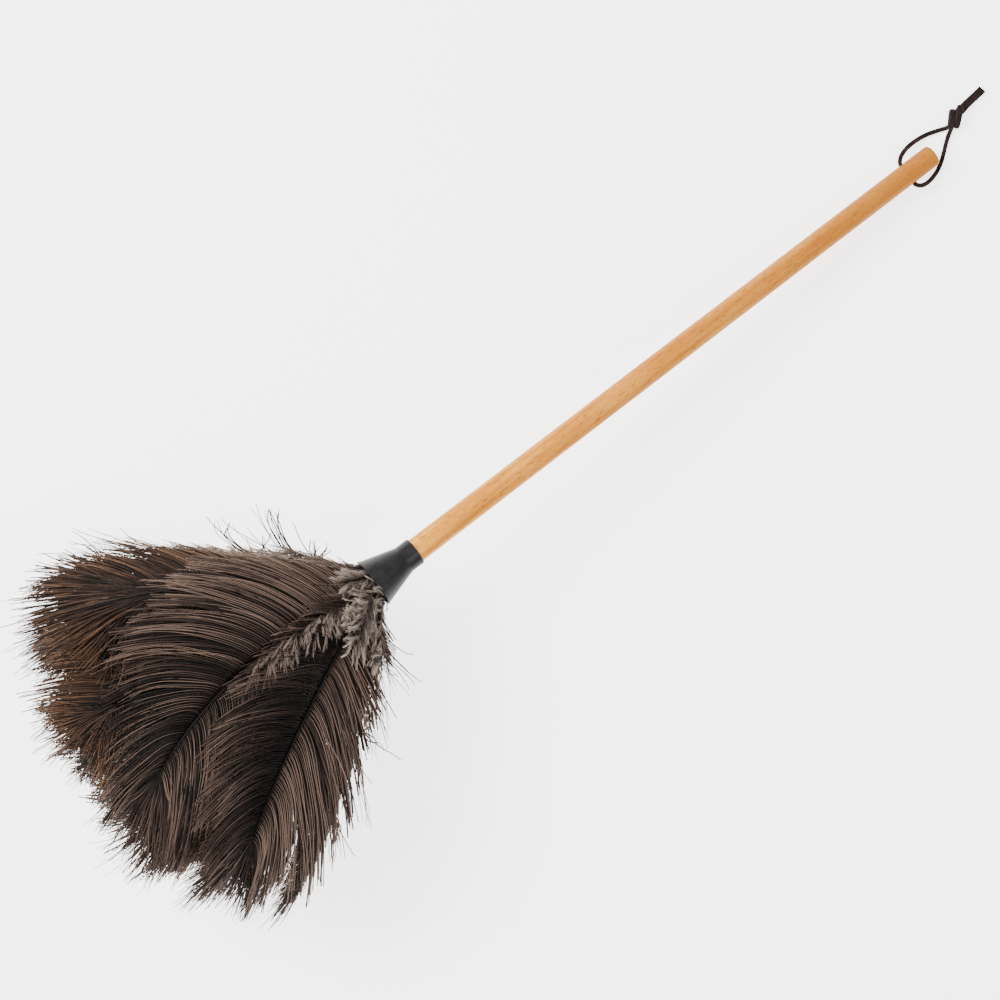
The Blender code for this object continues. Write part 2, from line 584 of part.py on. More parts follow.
def main():
    for obj in list(bpy.data.objects):
        bpy.data.objects.remove(obj, do_unlink=True)

    beech = make_material("oiled_beech", (0.62, 0.40, 0.22), 0.42)
    black = make_material("black_plastic", (0.012, 0.012, 0.013), 0.32)
    twine = make_material("waxed_twine", (0.42, 0.34, 0.24), 0.7)
    leather = make_material("dark_leather", (0.030, 0.016, 0.011), 0.5)
    dark = make_material("dark_feather", (0.040, 0.024, 0.017), 0.65)
    down = make_material("grey_down", (0.21, 0.17, 0.14), 0.8)

    stick = bpy.data.objects.new("stick_axis", None)
    stick.location = (MOUTH_X, 0.0, MOUTH_HEIGHT)
    stick.rotation_euler = (0.0, TILT, 0.0)
    bpy.context.scene.collection.objects.link(stick)
    make_handle(beech, stick)
    make_collar(black, stick)
    make_binding(twine, stick)

    outer = Layer(OUTER_RING, OUTER_FLARE_DEG, OUTER_FLARE_RUN)
    turns = (OUTER_AZIMUTHS_DEG, OUTER_LEANS_DEG, OUTER_SWAYS_DEG)
    make_row("outer", outer, turns, OUTER_LENGTH_SHARES, HEAD_REACH,
             OUTER_VANE_START, OUTER_BARB_SPREAD, QUILL_DIAMETER, OUTER_CLUMPS_PER_SIDE, dark)
    middle = Layer(MIDDLE_RING, MIDDLE_FLARE_DEG, MIDDLE_FLARE_RUN)
    turns = (MIDDLE_AZIMUTHS_DEG, MIDDLE_LEANS_DEG, MIDDLE_SWAYS_DEG)
    make_row("middle", middle, turns, MIDDLE_LENGTH_SHARES, HEAD_REACH,
             MIDDLE_VANE_START, MIDDLE_BARB_SPREAD, QUILL_DIAMETER, MIDDLE_CLUMPS_PER_SIDE, dark)
    inner = Layer(INNER_RING, INNER_FLARE_DEG, INNER_FLARE_RUN)
    turns = (INNER_AZIMUTHS_DEG, INNER_LEANS_DEG, INNER_SWAYS_DEG)
    make_row("inner", inner, turns, INNER_LENGTH_SHARES, HEAD_REACH,
             INNER_VANE_START, INNER_BARB_SPREAD, QUILL_DIAMETER, INNER_CLUMPS_PER_SIDE, dark)
    core = Layer(INNER_RING, CORE_FLARE_DEG, CORE_FLARE_RUN)
    turns = (CORE_AZIMUTHS_DEG, CORE_LEANS_DEG, CORE_SWAYS_DEG)
    make_row("core", core, turns, CORE_LENGTH_SHARES, HEAD_REACH,
             CORE_VANE_START, CORE_BARB_SPREAD, QUILL_DIAMETER, CORE_CLUMPS_PER_SIDE, dark)
    downy = Layer(DOWN_RING, DOWN_FLARE_DEG, DOWN_FLARE_RUN)
    turns = (DOWN_AZIMUTHS_DEG, DOWN_LEANS_DEG, DOWN_SWAYS_DEG)
    make_row("down", downy, turns, DOWN_LENGTH_SHARES, DOWN_REACH,
             DOWN_VANE_START, DOWN_BARB_SPREAD, DOWN_QUILL_DIAMETER, DOWN_CLUMPS_PER_SIDE, down)

    hole = STICK_LENGTH - LACE_HOLE_FROM_BUTT
    pivot = bpy.data.objects.new("loop_pivot", None)
    pivot.location = (MOUTH_X + hole * math.cos(TILT), 0.0, MOUTH_HEIGHT - hole * math.sin(TILT))
    bpy.context.scene.collection.objects.link(pivot)
    for name, route in (("lace_loop", LACE_LOOP_ROUTE), ("lace_tail_a", LACE_TAIL_A_ROUTE),
                        ("lace_tail_b", LACE_TAIL_B_ROUTE)):
        points, length = smooth_route(route, LACE_STEP)
        print(name, "length", round(length, 4), "m,", len(points), "points")
        tube(name, points, LACE_DIAMETER, LACE_BEVEL_RESOLUTION, leather, pivot)
    make_knot(leather, pivot)
    print("loop pivot", [round(value, 5) for value in pivot.location])


main()
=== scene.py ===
import json
import math

import bpy
import numpy as np
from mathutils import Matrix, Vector


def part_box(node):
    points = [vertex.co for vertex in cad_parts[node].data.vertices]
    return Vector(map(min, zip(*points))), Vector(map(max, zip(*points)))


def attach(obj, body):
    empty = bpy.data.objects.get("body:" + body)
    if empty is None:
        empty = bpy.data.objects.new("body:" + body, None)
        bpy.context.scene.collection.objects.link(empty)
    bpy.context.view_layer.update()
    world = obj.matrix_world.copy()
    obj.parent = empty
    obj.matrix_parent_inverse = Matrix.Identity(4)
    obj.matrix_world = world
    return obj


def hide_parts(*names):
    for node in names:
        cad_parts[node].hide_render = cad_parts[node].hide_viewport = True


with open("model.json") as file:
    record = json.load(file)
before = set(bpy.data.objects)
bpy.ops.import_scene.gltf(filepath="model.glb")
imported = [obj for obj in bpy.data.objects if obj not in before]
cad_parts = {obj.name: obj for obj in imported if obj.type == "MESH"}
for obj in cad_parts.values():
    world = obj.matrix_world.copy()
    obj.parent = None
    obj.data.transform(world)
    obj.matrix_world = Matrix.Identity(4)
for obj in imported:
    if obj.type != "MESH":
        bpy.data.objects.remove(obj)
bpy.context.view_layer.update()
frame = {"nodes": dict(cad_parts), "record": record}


# The photograph looks straight down on the duster, which lies across the picture from its
# lower left to its upper right. The camera stands 2.4 m over the surface with a long lens.
CAMERA_HEIGHT = 2.4
CAMERA_OVER = (-0.0271, -0.0079)
CAMERA_TURN_DEG = -37.46
CAMERA_LENS_MM = 117.49
CAMERA_SENSOR_MM = 36.0

bpy.ops.object.camera_add(
    location=(*CAMERA_OVER, CAMERA_HEIGHT), rotation=(0.0, 0.0, math.radians(CAMERA_TURN_DEG)),
)
camera = bpy.context.object
camera.name = "camera_above"
camera.data.lens = CAMERA_LENS_MM
camera.data.sensor_width = CAMERA_SENSOR_MM
bpy.context.scene.camera = camera


# Lace: one thong of dark square-cut leather. It goes through a cross hole near the butt of the
# handle, lies as a loop on the surface, and both of its ends are tied in one overhand knot.
LACE_WIDTH = 0.0032
LACE_THICKNESS = 0.0025
LACE_CORNER = 0.0005
LACE_STEP = 0.0016
LACE_LOOP_ROUTE = (
    (0.0444, 0.0097, -0.0089), (0.0386, 0.0119, -0.0092), (0.0300, 0.0146, -0.0093),
    (0.0212, 0.0158, -0.0082), (0.0130, 0.0156, -0.0054), (0.0066, 0.0141, -0.0024),
    (0.0021, 0.0115, -0.0005), (0.0002, 0.0086, 0.0), (0.0, 0.0045, 0.0), (0.0, 0.0, 0.0),
    (0.0, -0.0045, 0.0), (0.0001, -0.0084, 0.0), (0.0012, -0.0110, -0.0002), (0.0038, -0.0130, -0.0012),
    (0.0078, -0.0138, -0.0031), (0.0132, -0.0134, -0.0056), (0.0200, -0.0115, -0.0082),
    (0.0268, -0.0079, -0.0093), (0.0326, -0.0035, -0.0093), (0.0376, 0.0006, -0.0092),
    (0.0427, 0.0043, -0.0089),
)
LACE_TAIL_A_ROUTE = (
    (0.0614, 0.0150, -0.0084), (0.0660, 0.0158, -0.0091), (0.0712, 0.0164, -0.0093),
    (0.0760, 0.0168, -0.0093), (0.0830, 0.0176, -0.0093),
)
LACE_TAIL_B_ROUTE = (
    (0.0614, 0.0118, -0.0084), (0.0664, 0.0128, -0.0091), (0.0716, 0.0135, -0.0093),
    (0.0763, 0.0139, -0.0093), (0.0836, 0.0147, -0.0093),
)
LACE_HOLE_MIDDLE = np.array(frame["record"]["behaviour"]["joints"][0]["pos_m"])


class Amount:
    """A number that the nodes of a finish work out, so that sums on it add its nodes."""

    def __init__(self, finish, socket):
        self.finish = finish
        self.socket = socket

    def join(self, operation, first, second):
        return self.finish.node("ShaderNodeMath", {"operation": operation}, {0: first, 1: second})

    def __add__(self, other):
        return self.join("ADD", self, other)

    def __sub__(self, other):
        return self.join("SUBTRACT", self, other)

    def __rsub__(self, other):
        return self.join("SUBTRACT", other, self)

    def __mul__(self, other):
        return self.join("MULTIPLY", self, other)


class Finish:
    """A material whose nodes are laid one by one behind its one shader."""

    def __init__(self, name, **fixed):
        self.material = bpy.data.materials.new(name)
        self.material.use_nodes = True
        self.tree = self.material.node_tree
        self.shader = self.tree.nodes["Principled BSDF"]
        for socket, value in fixed.items():
            self.shader.inputs[socket.replace("_", " ")].default_value = value

    def feed(self, socket, value):
        if isinstance(value, Amount):
            self.tree.links.new(value.socket, socket)
        else:
            socket.default_value = value

    def node(self, kind, settings, sockets, out=0):
        node = self.tree.nodes.new(kind)
        for name, value in settings.items():
            if name == "stops":
                for stop in value[2:]:
                    node.color_ramp.elements.new(stop[0])
                for element, stop in zip(node.color_ramp.elements, value):
                    element.position, element.color = stop[0], (*stop[1], 1.0)
            else:
                setattr(node, name, value)
        for name, value in sockets.items():
            self.feed(node.inputs[name], value)
        return Amount(self, node.outputs[out])

    def show(self, socket, value):
        self.feed(self.shader.inputs[socket], value)

    def ramp(self, share, stops):
        return self.node("ShaderNodeValToRGB", {"stops": stops}, {"Fac": share})

    def mixed(self, share, first, second):
        return self.node("ShaderNodeMix", {"data_type": "RGBA"}, {0: share, 6: first, 7: second}, out=2)

    def noise(self, where, scale, detail, rough=0.5):
        return self.node("ShaderNodeTexNoise", {}, {
            "Vector": where, "Scale": scale, "Detail": detail, "Roughness": rough,
        })

    def stretched(self, where, scale, turn=(0.0, 0.0, 0.0)):
        turned = self.node("ShaderNodeMapping", {}, {"Vector": where, "Rotation": turn})
        return self.node("ShaderNodeMapping", {}, {"Vector": turned, "Scale": scale})

    def place(self):
        return self.node("ShaderNodeTexCoord", {}, {}, out="Object")

    def bump(self, height, strength, distance):
        sockets = {"Height": height, "Strength": strength, "Distance": distance}
        self.show("Normal", self.node("ShaderNodeBump", {}, sockets))


def smooth_route(points, step):
    """Places about a step apart on the smooth curve through a route's points."""
    route = np.array(points)
    before = np.vstack([2 * route[0] - route[1], route, 2 * route[-1] - route[-2]])
    fine = []
    for p0, p1, p2, p3 in zip(before, before[1:], before[2:], before[3:]):
        for t in np.linspace(0.0, 1.0, 24, endpoint=False):
            fine.append(
                0.5 * (2 * p1 + (p2 - p0) * t + (2 * p0 - 5 * p1 + 4 * p2 - p3) * t ** 2
                       + (3 * p1 - p0 - 3 * p2 + p3) * t ** 3)
            )
    fine = np.array(fine + [route[-1]])
    run = np.concatenate(([0.0], np.cumsum(np.linalg.norm(np.diff(fine, axis=0), axis=1))))
    wanted = np.linspace(0.0, run[-1], max(int(round(run[-1] / step)), 2) + 1)
    return np.stack([np.interp(wanted, run, fine[:, axis]) for axis in range(3)], axis=1)


def unit(vectors):
    return vectors / np.maximum(np.linalg.norm(vectors, axis=-1, keepdims=True), 1e-12)


def add_mesh(name, points, faces, material):
    mesh = bpy.data.meshes.new(name)
    mesh.from_pydata([tuple(map(float, point)) for point in points], [], faces)
    mesh.shade_smooth()
    mesh.materials.append(material)
    piece = bpy.data.objects.new(name, mesh)
    bpy.context.scene.collection.objects.link(piece)
    return piece


def thong_profile():
    """The corners of the lace's section, each a small quarter round."""
    corners = []
    for sign_a, sign_b, start in ((1, 1, 0), (-1, 1, 90), (-1, -1, 180), (1, -1, 270)):
        for turn_deg in (0, 45, 90):
            turn = math.radians(start + turn_deg)
            corners.append((
                sign_a * (LACE_WIDTH / 2 - LACE_CORNER) + LACE_CORNER * math.cos(turn),
                sign_b * (LACE_THICKNESS / 2 - LACE_CORNER) + LACE_CORNER * math.sin(turn),
            ))
    return np.array(corners)


def lay_thong(name, route, material, roll_deg=0.0):
    """A thong laid along a route, with its flat face up, and the route's own places."""
    line = smooth_route(route, LACE_STEP) + LACE_HOLE_MIDDLE
    along = unit(np.gradient(line, axis=0))
    side = unit(np.cross(np.array([0.0, 0.0, 1.0]), along))
    out = np.cross(along, side)
    profile = thong_profile()
    roll = np.radians(roll_deg) * np.sin(np.linspace(0.0, 2 * np.pi, len(line)))[:, None]
    rolled_side = side * np.cos(roll) + out * np.sin(roll)
    rolled_out = out * np.cos(roll) - side * np.sin(roll)
    rings = (
        line[:, None] + rolled_side[:, None] * profile[None, :, :1]
        + rolled_out[:, None] * profile[None, :, 1:]
    )
    count = len(profile)
    points = rings.reshape(-1, 3)
    faces = [
        (r * count + k, (r + 1) * count + k, (r + 1) * count + (k + 1) % count, r * count + (k + 1) % count)
        for r in range(len(line) - 1) for k in range(count)
    ]
    faces += [tuple(range(count)), tuple(range(len(points) - 1, len(points) - count - 1, -1))]
    return add_mesh(name, points, faces, material), line


leather = Finish("dark_leather", Specular_IOR_Level=0.12)
leather_place = leather.place()
leather_grain = leather.noise(leather_place, 900.0, 4.0, 0.6)
leather_wear = leather.noise(leather_place, 190.0, 3.0)
leather.show("Base Color", leather.ramp(leather_wear * 0.75 + leather_grain * 0.25, (
    (0.30, (0.0060, 0.0030, 0.0028)), (0.55, (0.0150, 0.0072, 0.0062)), (0.72, (0.040, 0.0210, 0.0170)),
)))
leather.show("Roughness", leather_grain * 0.25 + 0.36)
leather.bump(leather_grain, 0.5, 0.00025)

lace_loop, lace_line = lay_thong("lace_thong", LACE_LOOP_ROUTE, leather.material, 14.0)
lace_tail_a, _ = lay_thong("lace_end_a", LACE_TAIL_A_ROUTE, leather.material)
lace_tail_b, _ = lay_thong("lace_end_b", LACE_TAIL_B_ROUTE, leather.material)


# Knot: the doubled thong goes round itself, so two wraps lie side by side over its core, and
# the four ends that leave it run on inside, the loop's to its low side and the tails' to its middle.
KNOT_MIDDLE = LACE_HOLE_MIDDLE + np.array([0.0543, 0.0118, -0.0064])
KNOT_LOW_SIDE = np.array([-0.0043, -0.0030, 0.0])
KNOT_TURN_DEG = 44.0
WRAP_HEIGHT = 0.0072
WRAP_WIDTH = 0.0050
WRAP_THICKNESS = 0.0036
WRAPS = (
    # name, length, shift across and along the knot, turn
    ("knot_wrap_left", 0.0152, 0.0024, -0.0014, 3.0),
    ("knot_wrap_right", 0.0182, -0.0021, 0.0010, -3.0),
)
CORE_SIZE = (0.0175, 0.0060, 0.0046)
CORE_TURN_DEG = -14.0


def deselect_all():
    bpy.ops.object.select_all(action="DESELECT")


def settle_transforms(piece):
    """Put a piece's place, turn and size into its mesh."""
    deselect_all()
    piece.select_set(True)
    bpy.context.view_layer.objects.active = piece
    bpy.ops.object.transform_apply(location=True, rotation=True, scale=True)


def wrap_of_knot(name, length, shift_across, shift_along, turn_deg):
    """One wrap: a ring of the thong, wide and thin, stood on its edge and pressed flat."""
    turn = math.radians(turn_deg)
    along = Vector((math.cos(turn), math.sin(turn), 0.0))
    across = Vector((-math.sin(turn), math.cos(turn), 0.0))
    bpy.ops.mesh.primitive_torus_add(
        major_segments=64, minor_segments=20, major_radius=(length - WRAP_THICKNESS) / 2,
        minor_radius=WRAP_THICKNESS / 2, rotation=(math.pi / 2, 0.0, turn),
        location=Vector(KNOT_MIDDLE) + along * shift_along + across * shift_across,
    )
    wrap = bpy.context.object
    wrap.name = name
    wrap.scale = (1.0, WRAP_HEIGHT / length, WRAP_WIDTH / WRAP_THICKNESS)
    settle_transforms(wrap)
    bpy.ops.object.shade_smooth()
    wrap.data.materials.clear()
    wrap.data.materials.append(leather.material)
    return wrap


deselect_all()
wraps = [
    wrap_of_knot(name, length, across, along, KNOT_TURN_DEG + turn)
    for name, length, across, along, turn in WRAPS
]
bpy.ops.mesh.primitive_uv_sphere_add(
    segments=24, ring_count=12, radius=0.5, location=KNOT_MIDDLE,
    rotation=(0.0, 0.0, math.radians(KNOT_TURN_DEG + CORE_TURN_DEG)),
)
core = bpy.context.object
core.scale = CORE_SIZE
settle_transforms(core)
core.data.materials.append(leather.material)
knot_inside = KNOT_MIDDLE - LACE_HOLE_MIDDLE
low_inside = knot_inside + KNOT_LOW_SIDE
stubs = [
    lay_thong("knot_end", (start, tuple(inside)), leather.material)[0]
    for start, inside in (
        (LACE_LOOP_ROUTE[0], low_inside), (LACE_LOOP_ROUTE[-1], low_inside),
        (LACE_TAIL_A_ROUTE[0], knot_inside), (LACE_TAIL_B_ROUTE[0], knot_inside),
    )
]
deselect_all()
for piece in (*wraps, core, *stubs):
    piece.select_set(True)
bpy.context.view_layer.objects.active = wraps[0]
bpy.ops.object.join()
knot = wraps[0]
knot.name = "lace_overhand_knot"
bpy.ops.object.shade_smooth_by_angle(angle=math.radians(50.0))

for piece, node in (
    (lace_loop, "lace_loop"), (lace_tail_a, "lace_tail_a"), (lace_tail_b, "lace_tail_b"), (knot, "lace_knot"),
):
    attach(piece, "hanging_lace")
    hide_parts(node)


# Handle: a turned beech dowel with a thin oil finish, a little thinner at its rounded butt.
# Its grain runs along it, with short brown flecks, and it is browner towards the butt. Inside the
# collar it ends as a spigot, and the quills are tied round that.
HANDLE_TILT_DEG = 7.5
BUTT_X = 0.379

beech = Finish("oiled_beech", Coat_Roughness=0.3, Specular_IOR_Level=0.05)
along_handle = (0.0, -math.radians(HANDLE_TILT_DEG), 0.0)
beech_place = beech.place()
long_streaks = beech.noise(beech.stretched(beech_place, (9.0, 260.0, 260.0), along_handle), 1.0, 5.0, 0.6)
broad_figure = beech.noise(beech.stretched(beech_place, (14.0, 60.0, 60.0), along_handle), 1.0, 3.0)
flecks = beech.noise(beech.stretched(beech_place, (190.0, 760.0, 760.0), along_handle), 1.0, 2.0)
fleck_mask = beech.ramp(flecks, ((0.55, (0.0, 0.0, 0.0)), (0.67, (1.0, 1.0, 1.0))))
pale_wood = beech.ramp(long_streaks * 0.55 + broad_figure * 0.45, (
    (0.36, (0.46, 0.150, 0.012)), (0.50, (0.67, 0.262, 0.028)), (0.64, (0.84, 0.390, 0.060)),
))
handle_run = beech.node("ShaderNodeSeparateXYZ", {}, {"Vector": beech_place}, out="X")
towards_butt = beech.node("ShaderNodeMapRange", {}, {
    "Value": handle_run, "From Min": -0.10, "From Max": BUTT_X, "To Min": 0.0, "To Max": 0.78,
})
aged_wood = beech.mixed(towards_butt, pale_wood, (0.30, 0.095, 0.010, 1.0))
beech.show("Base Color", beech.mixed(fleck_mask * 0.60, aged_wood, (0.26, 0.075, 0.010, 1.0)))
beech.show("Roughness", long_streaks * 0.22 + 0.34)
beech.show("Coat Weight", broad_figure * 0.10)
beech.bump(long_streaks * 0.6 + flecks * 0.4, 0.25, 0.0004)
handle = frame["nodes"]["handle"]
handle.data.materials.clear()
handle.data.materials.append(beech.material)


# Collar: one moulded piece of black plastic, a short neck on the handle and a cone whose mouth
# holds the quills. It is satin, with a fine moulded grain and light scuffs.
black_plastic = Finish("black_plastic", Specular_IOR_Level=0.13)
plastic_place = black_plastic.place()
moulded_grain = black_plastic.noise(plastic_place, 1400.0, 2.0)
scuffs = black_plastic.noise(black_plastic.stretched(plastic_place, (60.0, 240.0, 240.0)), 1.0, 4.0, 0.6)
black_plastic.show("Base Color", black_plastic.ramp(scuffs, (
    (0.35, (0.0085, 0.0085, 0.0090)), (0.75, (0.018, 0.018, 0.0185)),
)))
black_plastic.show("Roughness", scuffs * 0.14 + 0.27)
black_plastic.bump(moulded_grain, 0.18, 0.00012)
collar = frame["nodes"]["collar"]
collar.data.materials.clear()
collar.data.materials.append(black_plastic.material)


# Feathers: a bouquet of ostrich plumes, quills in the collar, in nested turned layers that
# settle onto the surface. Each plume has a dark shaft with limp, downy barbs on both sides.
TILT = math.radians(HANDLE_TILT_DEG)
MOUTH_X = -0.134983
MOUTH_HEIGHT = 0.075477
HEAD_REACH = 0.2440
FLARE_START = 0.0065
FLARE_EASE_SHARE = 0.60
LEAN_RUN = 0.0200
SWAY_POWER = 3
QUILL_FOOT = 0.0140
SETTLE_RUN = 0.0600
DROOP = 0.0476
DROOP_SIDE_SHARE = 1.6
SQUASH_SHARE = 0.62
TOP_HEIGHT = 0.1100
UNDERSIDE_DEPTH = 0.0648
SIDE_SHARE = 0.95
SHINGLE_AT_VANE = 0.0036
SHINGLE_RISE_SHARE = 0.054
SURFACE_CLEARANCE = 0.0004
SHAFT_SIDES = 8
SHAFT_STEPS = 70
SHAFT_DIAMETER = 0.0018
SHAFT_AT_TIP = 0.0008
SHAFT_AT_END = 0.0004
SHAFT_SUNK = 0.0010
SHAFT_STANDS_OUT = 0.0022
HORN_AND_HIGHLIGHT_RUN = 0.060
BARB_SECTION = np.array([[-0.5, -0.25], [0.5, -0.25], [0.0, 0.45]])
BARBULE_THICKNESS = 0.00010
BARBULE_SHARES = (0.55, 1.1)
BARBULE_LEANS_DEG = (22.0, 58.0)
BARBULE_FALLS = (-0.45, 0.35)
BARBULE_TIP_BROWNER = 0.10
BARBS_OF_A_TUFT = 6
TUFT_SPREAD = 0.0018
# Where the corners of a tube and of a barbule lie in their barb's row of the map
TUBE_ROW_PLACES = np.array([0.15, 0.85, 0.5, 0.3, 0.7, 0.4, 0.6, 0.2])
BARBULE_ROW_PLACES = np.array([0.2, 0.4, 0.8, 0.6])
BARBULE_ROW_RUNS = np.array([0.0, 0.01, 0.005, 0.012])


def smoothstep(low, high, value):
    share = np.clip((value - low) / (high - low), 0.0, 1.0)
    return share * share * (3 - 2 * share)


class Layer:
    """The turned surface that a row of plumes lies on: it flares from the collar, then eases."""

    def __init__(self, ring, flare_deg, flare_run):
        reach = 2 * HEAD_REACH
        steps = 160
        self.run = np.linspace(0.0, reach, steps + 1)
        ease = 1 - FLARE_EASE_SHARE * self.run / HEAD_REACH
        self.slope = math.radians(flare_deg) * (1 - np.exp(-self.run / flare_run)) * ease
        middle = (self.slope[1:] + self.slope[:-1]) / 2
        self.ahead = np.concatenate(([0.0], np.cumsum(np.cos(middle)))) * reach / steps - FLARE_START
        self.radius = np.concatenate(([0.0], np.cumsum(np.sin(middle)))) * reach / steps + ring

    def at(self, run):
        held = np.maximum(run, 0.0)
        lines = (self.ahead, self.radius, self.slope)
        ahead, radius, slope = (np.interp(held, self.run, line) for line in lines)
        return ahead + np.minimum(run, 0.0), radius, slope

    def run_for_reach(self, reach, azimuth):
        side = SIDE_SHARE * self.radius * math.cos(azimuth)
        return float(np.interp(reach, np.hypot(self.ahead, side), self.run))


def settle(ahead, side, up):
    """Lay the round bouquet down: it flattens on its underside, spreads and droops outwards."""
    grip = smoothstep(0.0, SETTLE_RUN, ahead)
    depth = np.where(up > 0.0, TOP_HEIGHT, UNDERSIDE_DEPTH)
    pressed = depth * np.tanh(SQUASH_SHARE * up / depth)
    beyond = np.maximum(ahead, 0.0)
    sag = DROOP * beyond * np.hypot(beyond, DROOP_SIDE_SHARE * side) / HEAD_REACH ** 2
    up = up + grip * (pressed - up) - sag
    side = side * (1 - grip * (1 - SIDE_SHARE))
    height = MOUTH_HEIGHT + ahead * math.sin(TILT) + up * math.cos(TILT)
    low = SURFACE_CLEARANCE
    height = np.where(height > 2 * low, height, low + low * np.exp(np.minimum(height / low - 2, 0.0)))
    return np.stack([MOUTH_X - ahead * math.cos(TILT) + up * math.sin(TILT), -side, height], axis=-1)


class Plume:
    """One plume on its layer: its shaft and its barbs, gathered as one mesh."""

    def __init__(self, layer, turns_deg, reach, vane_start, spread, quill_diameter, fan_share, seed):
        self.layer = layer
        self.azimuth, self.lean, self.sway = np.radians(turns_deg)
        self.end = layer.run_for_reach(reach, self.azimuth)
        self.vane_start = vane_start
        self.spread = spread
        self.quill_diameter = quill_diameter
        self.tip = self.end - fan_share * spread
        self.random = np.random.default_rng(seed)
        self.points, self.faces, self.looks, self.places = [], [], [], []
        self.count = 0
        self.rows = 0

    def surface(self, run, across, out=0.0, flat=0.0):
        """Points over the vane's middle surface, which tilts like a shingle over the next plume's."""
        outside = np.maximum(run, 0.0)
        leaning = self.lean * (1 - np.exp(-outside / LEAN_RUN))
        centre = self.azimuth + leaning + self.sway * np.minimum(outside / self.end, 1.08) ** SWAY_POWER
        ahead, radius, slope = self.layer.at(run)
        turn = across / radius
        lift = (SHINGLE_AT_VANE + SHINGLE_RISE_SHARE * np.maximum(run - self.vane_start, 0.0)) * turn
        lift = lift + out + flat * across ** 2 / (2 * radius)
        azimuth = centre + turn
        ahead = ahead - lift * np.sin(slope)
        radius = radius + lift * np.cos(slope)
        return settle(ahead, radius * np.cos(azimuth), radius * np.sin(azimuth))

    def gather(self, points, faces, looks, places):
        self.points.append(points.reshape(-1, 3))
        self.faces.append(faces + self.count)
        self.looks.append(looks.reshape(-1, 4))
        self.places.append(places.reshape(-1, 2))
        self.count += points.reshape(-1, 3).shape[0]

    def add_tubes(self, run, across, out, width, section, looks, flat=0.0):
        """Tubes along lines over the vane; each line is a row of the arrays, and ends in a point."""
        line = self.surface(run, across, out, flat)
        above = unit(self.surface(run, across, out + 0.0005, flat) - line)
        along = unit(np.gradient(line, axis=1))
        side = unit(np.cross(along, above))
        above = np.cross(side, along)
        rings = (
            line[:, :, None]
            + side[:, :, None] * section[None, None, :, :1] * width[:, :, None, None]
            + above[:, :, None] * section[None, None, :, 1:] * width[:, :, None, None]
        )
        tubes, steps, corners = rings.shape[:3]
        base = (np.arange(tubes) * steps * corners)[:, None, None]
        ring = (np.arange(steps - 1) * corners)[None, :, None]
        corner = np.arange(corners)[None, None, :]
        after = (corner + 1) % corners
        a, b = base + ring + corner, base + ring + after
        c, d = b + corners, a + corners
        faces = [np.stack([a, b, c], -1).reshape(-1, 3), np.stack([a, c, d], -1).reshape(-1, 3)]
        first = np.arange(tubes) * steps * corners
        last = first + (steps - 1) * corners
        for k in range(1, corners - 1):
            faces.append(np.stack([first, first + k + 1, first + k], -1))
            faces.append(np.stack([last, last + k, last + k + 1], -1))
        look = np.broadcast_to(looks[:, :, None, :], (tubes, steps, corners, 4))
        rows = self.rows + np.arange(tubes)
        self.rows += tubes
        place = np.empty((tubes, steps, corners, 2))
        place[..., 0] = np.linspace(0.01, 0.99, steps)[None, :, None]
        place[..., 1] = rows[:, None, None] + TUBE_ROW_PLACES[:corners]
        self.gather(rings, np.concatenate(faces), look, place)
        return line, along, side, above, rows

    def add_barbules(self, line, along, side, above, rows, looks, per_step, length):
        """Short fine barbules that lean forward from both edges of each barb, as thin spikes."""
        tubes, steps = line.shape[:2]
        shape = (tubes, steps - 2, per_step)
        share = self.random.random(shape)
        index = np.arange(1, steps - 1)
        here, there = line[:, index, None], line[:, index + 1, None]
        root = here + (there - here) * share[..., None]
        lean = np.radians(self.random.uniform(*BARBULE_LEANS_DEG, shape))[..., None]
        hand = np.where(self.random.random(shape) < 0.5, -1.0, 1.0)[..., None]
        fall = self.random.uniform(*BARBULE_FALLS, shape)[..., None]
        forward = along[:, index, None]
        sideways = side[:, index, None]
        upward = above[:, index, None]
        way = unit(forward * np.cos(lean) + sideways * hand * np.sin(lean) + upward * fall)
        reach = (length * self.random.uniform(*BARBULE_SHARES, shape))[..., None]
        across_way = unit(np.cross(way, upward))
        tip = root + way * reach
        tip[..., 2] = np.maximum(tip[..., 2], SURFACE_CLEARANCE / 2)
        across_foot = across_way * BARBULE_THICKNESS
        upright_foot = np.cross(across_way, way) * BARBULE_THICKNESS * 1.6
        corners = np.stack([root + across_foot, root - across_foot, root + upright_foot, tip], axis=-2)
        base = np.arange(math.prod(shape))[:, None] * 4
        spike = np.array([[0, 3, 1], [1, 3, 2], [2, 3, 0], [0, 1, 2]])
        faces = (base[:, :, None] + spike[None]).reshape(-1, 3)
        look = looks[:, index, None, None, :] * np.ones((1, 1, per_step, 4, 1))
        look[..., 3, 0] = np.minimum(look[..., 3, 0] + BARBULE_TIP_BROWNER, 1.0)
        place = np.empty((*shape, 4, 2))
        u = 0.01 + 0.98 * (index[None, :, None] + share) / (steps - 1)
        place[..., 0] = u[..., None] + BARBULE_ROW_RUNS
        place[..., 1] = rows[:, None, None, None] + BARBULE_ROW_PLACES
        self.gather(corners, faces, look, place)

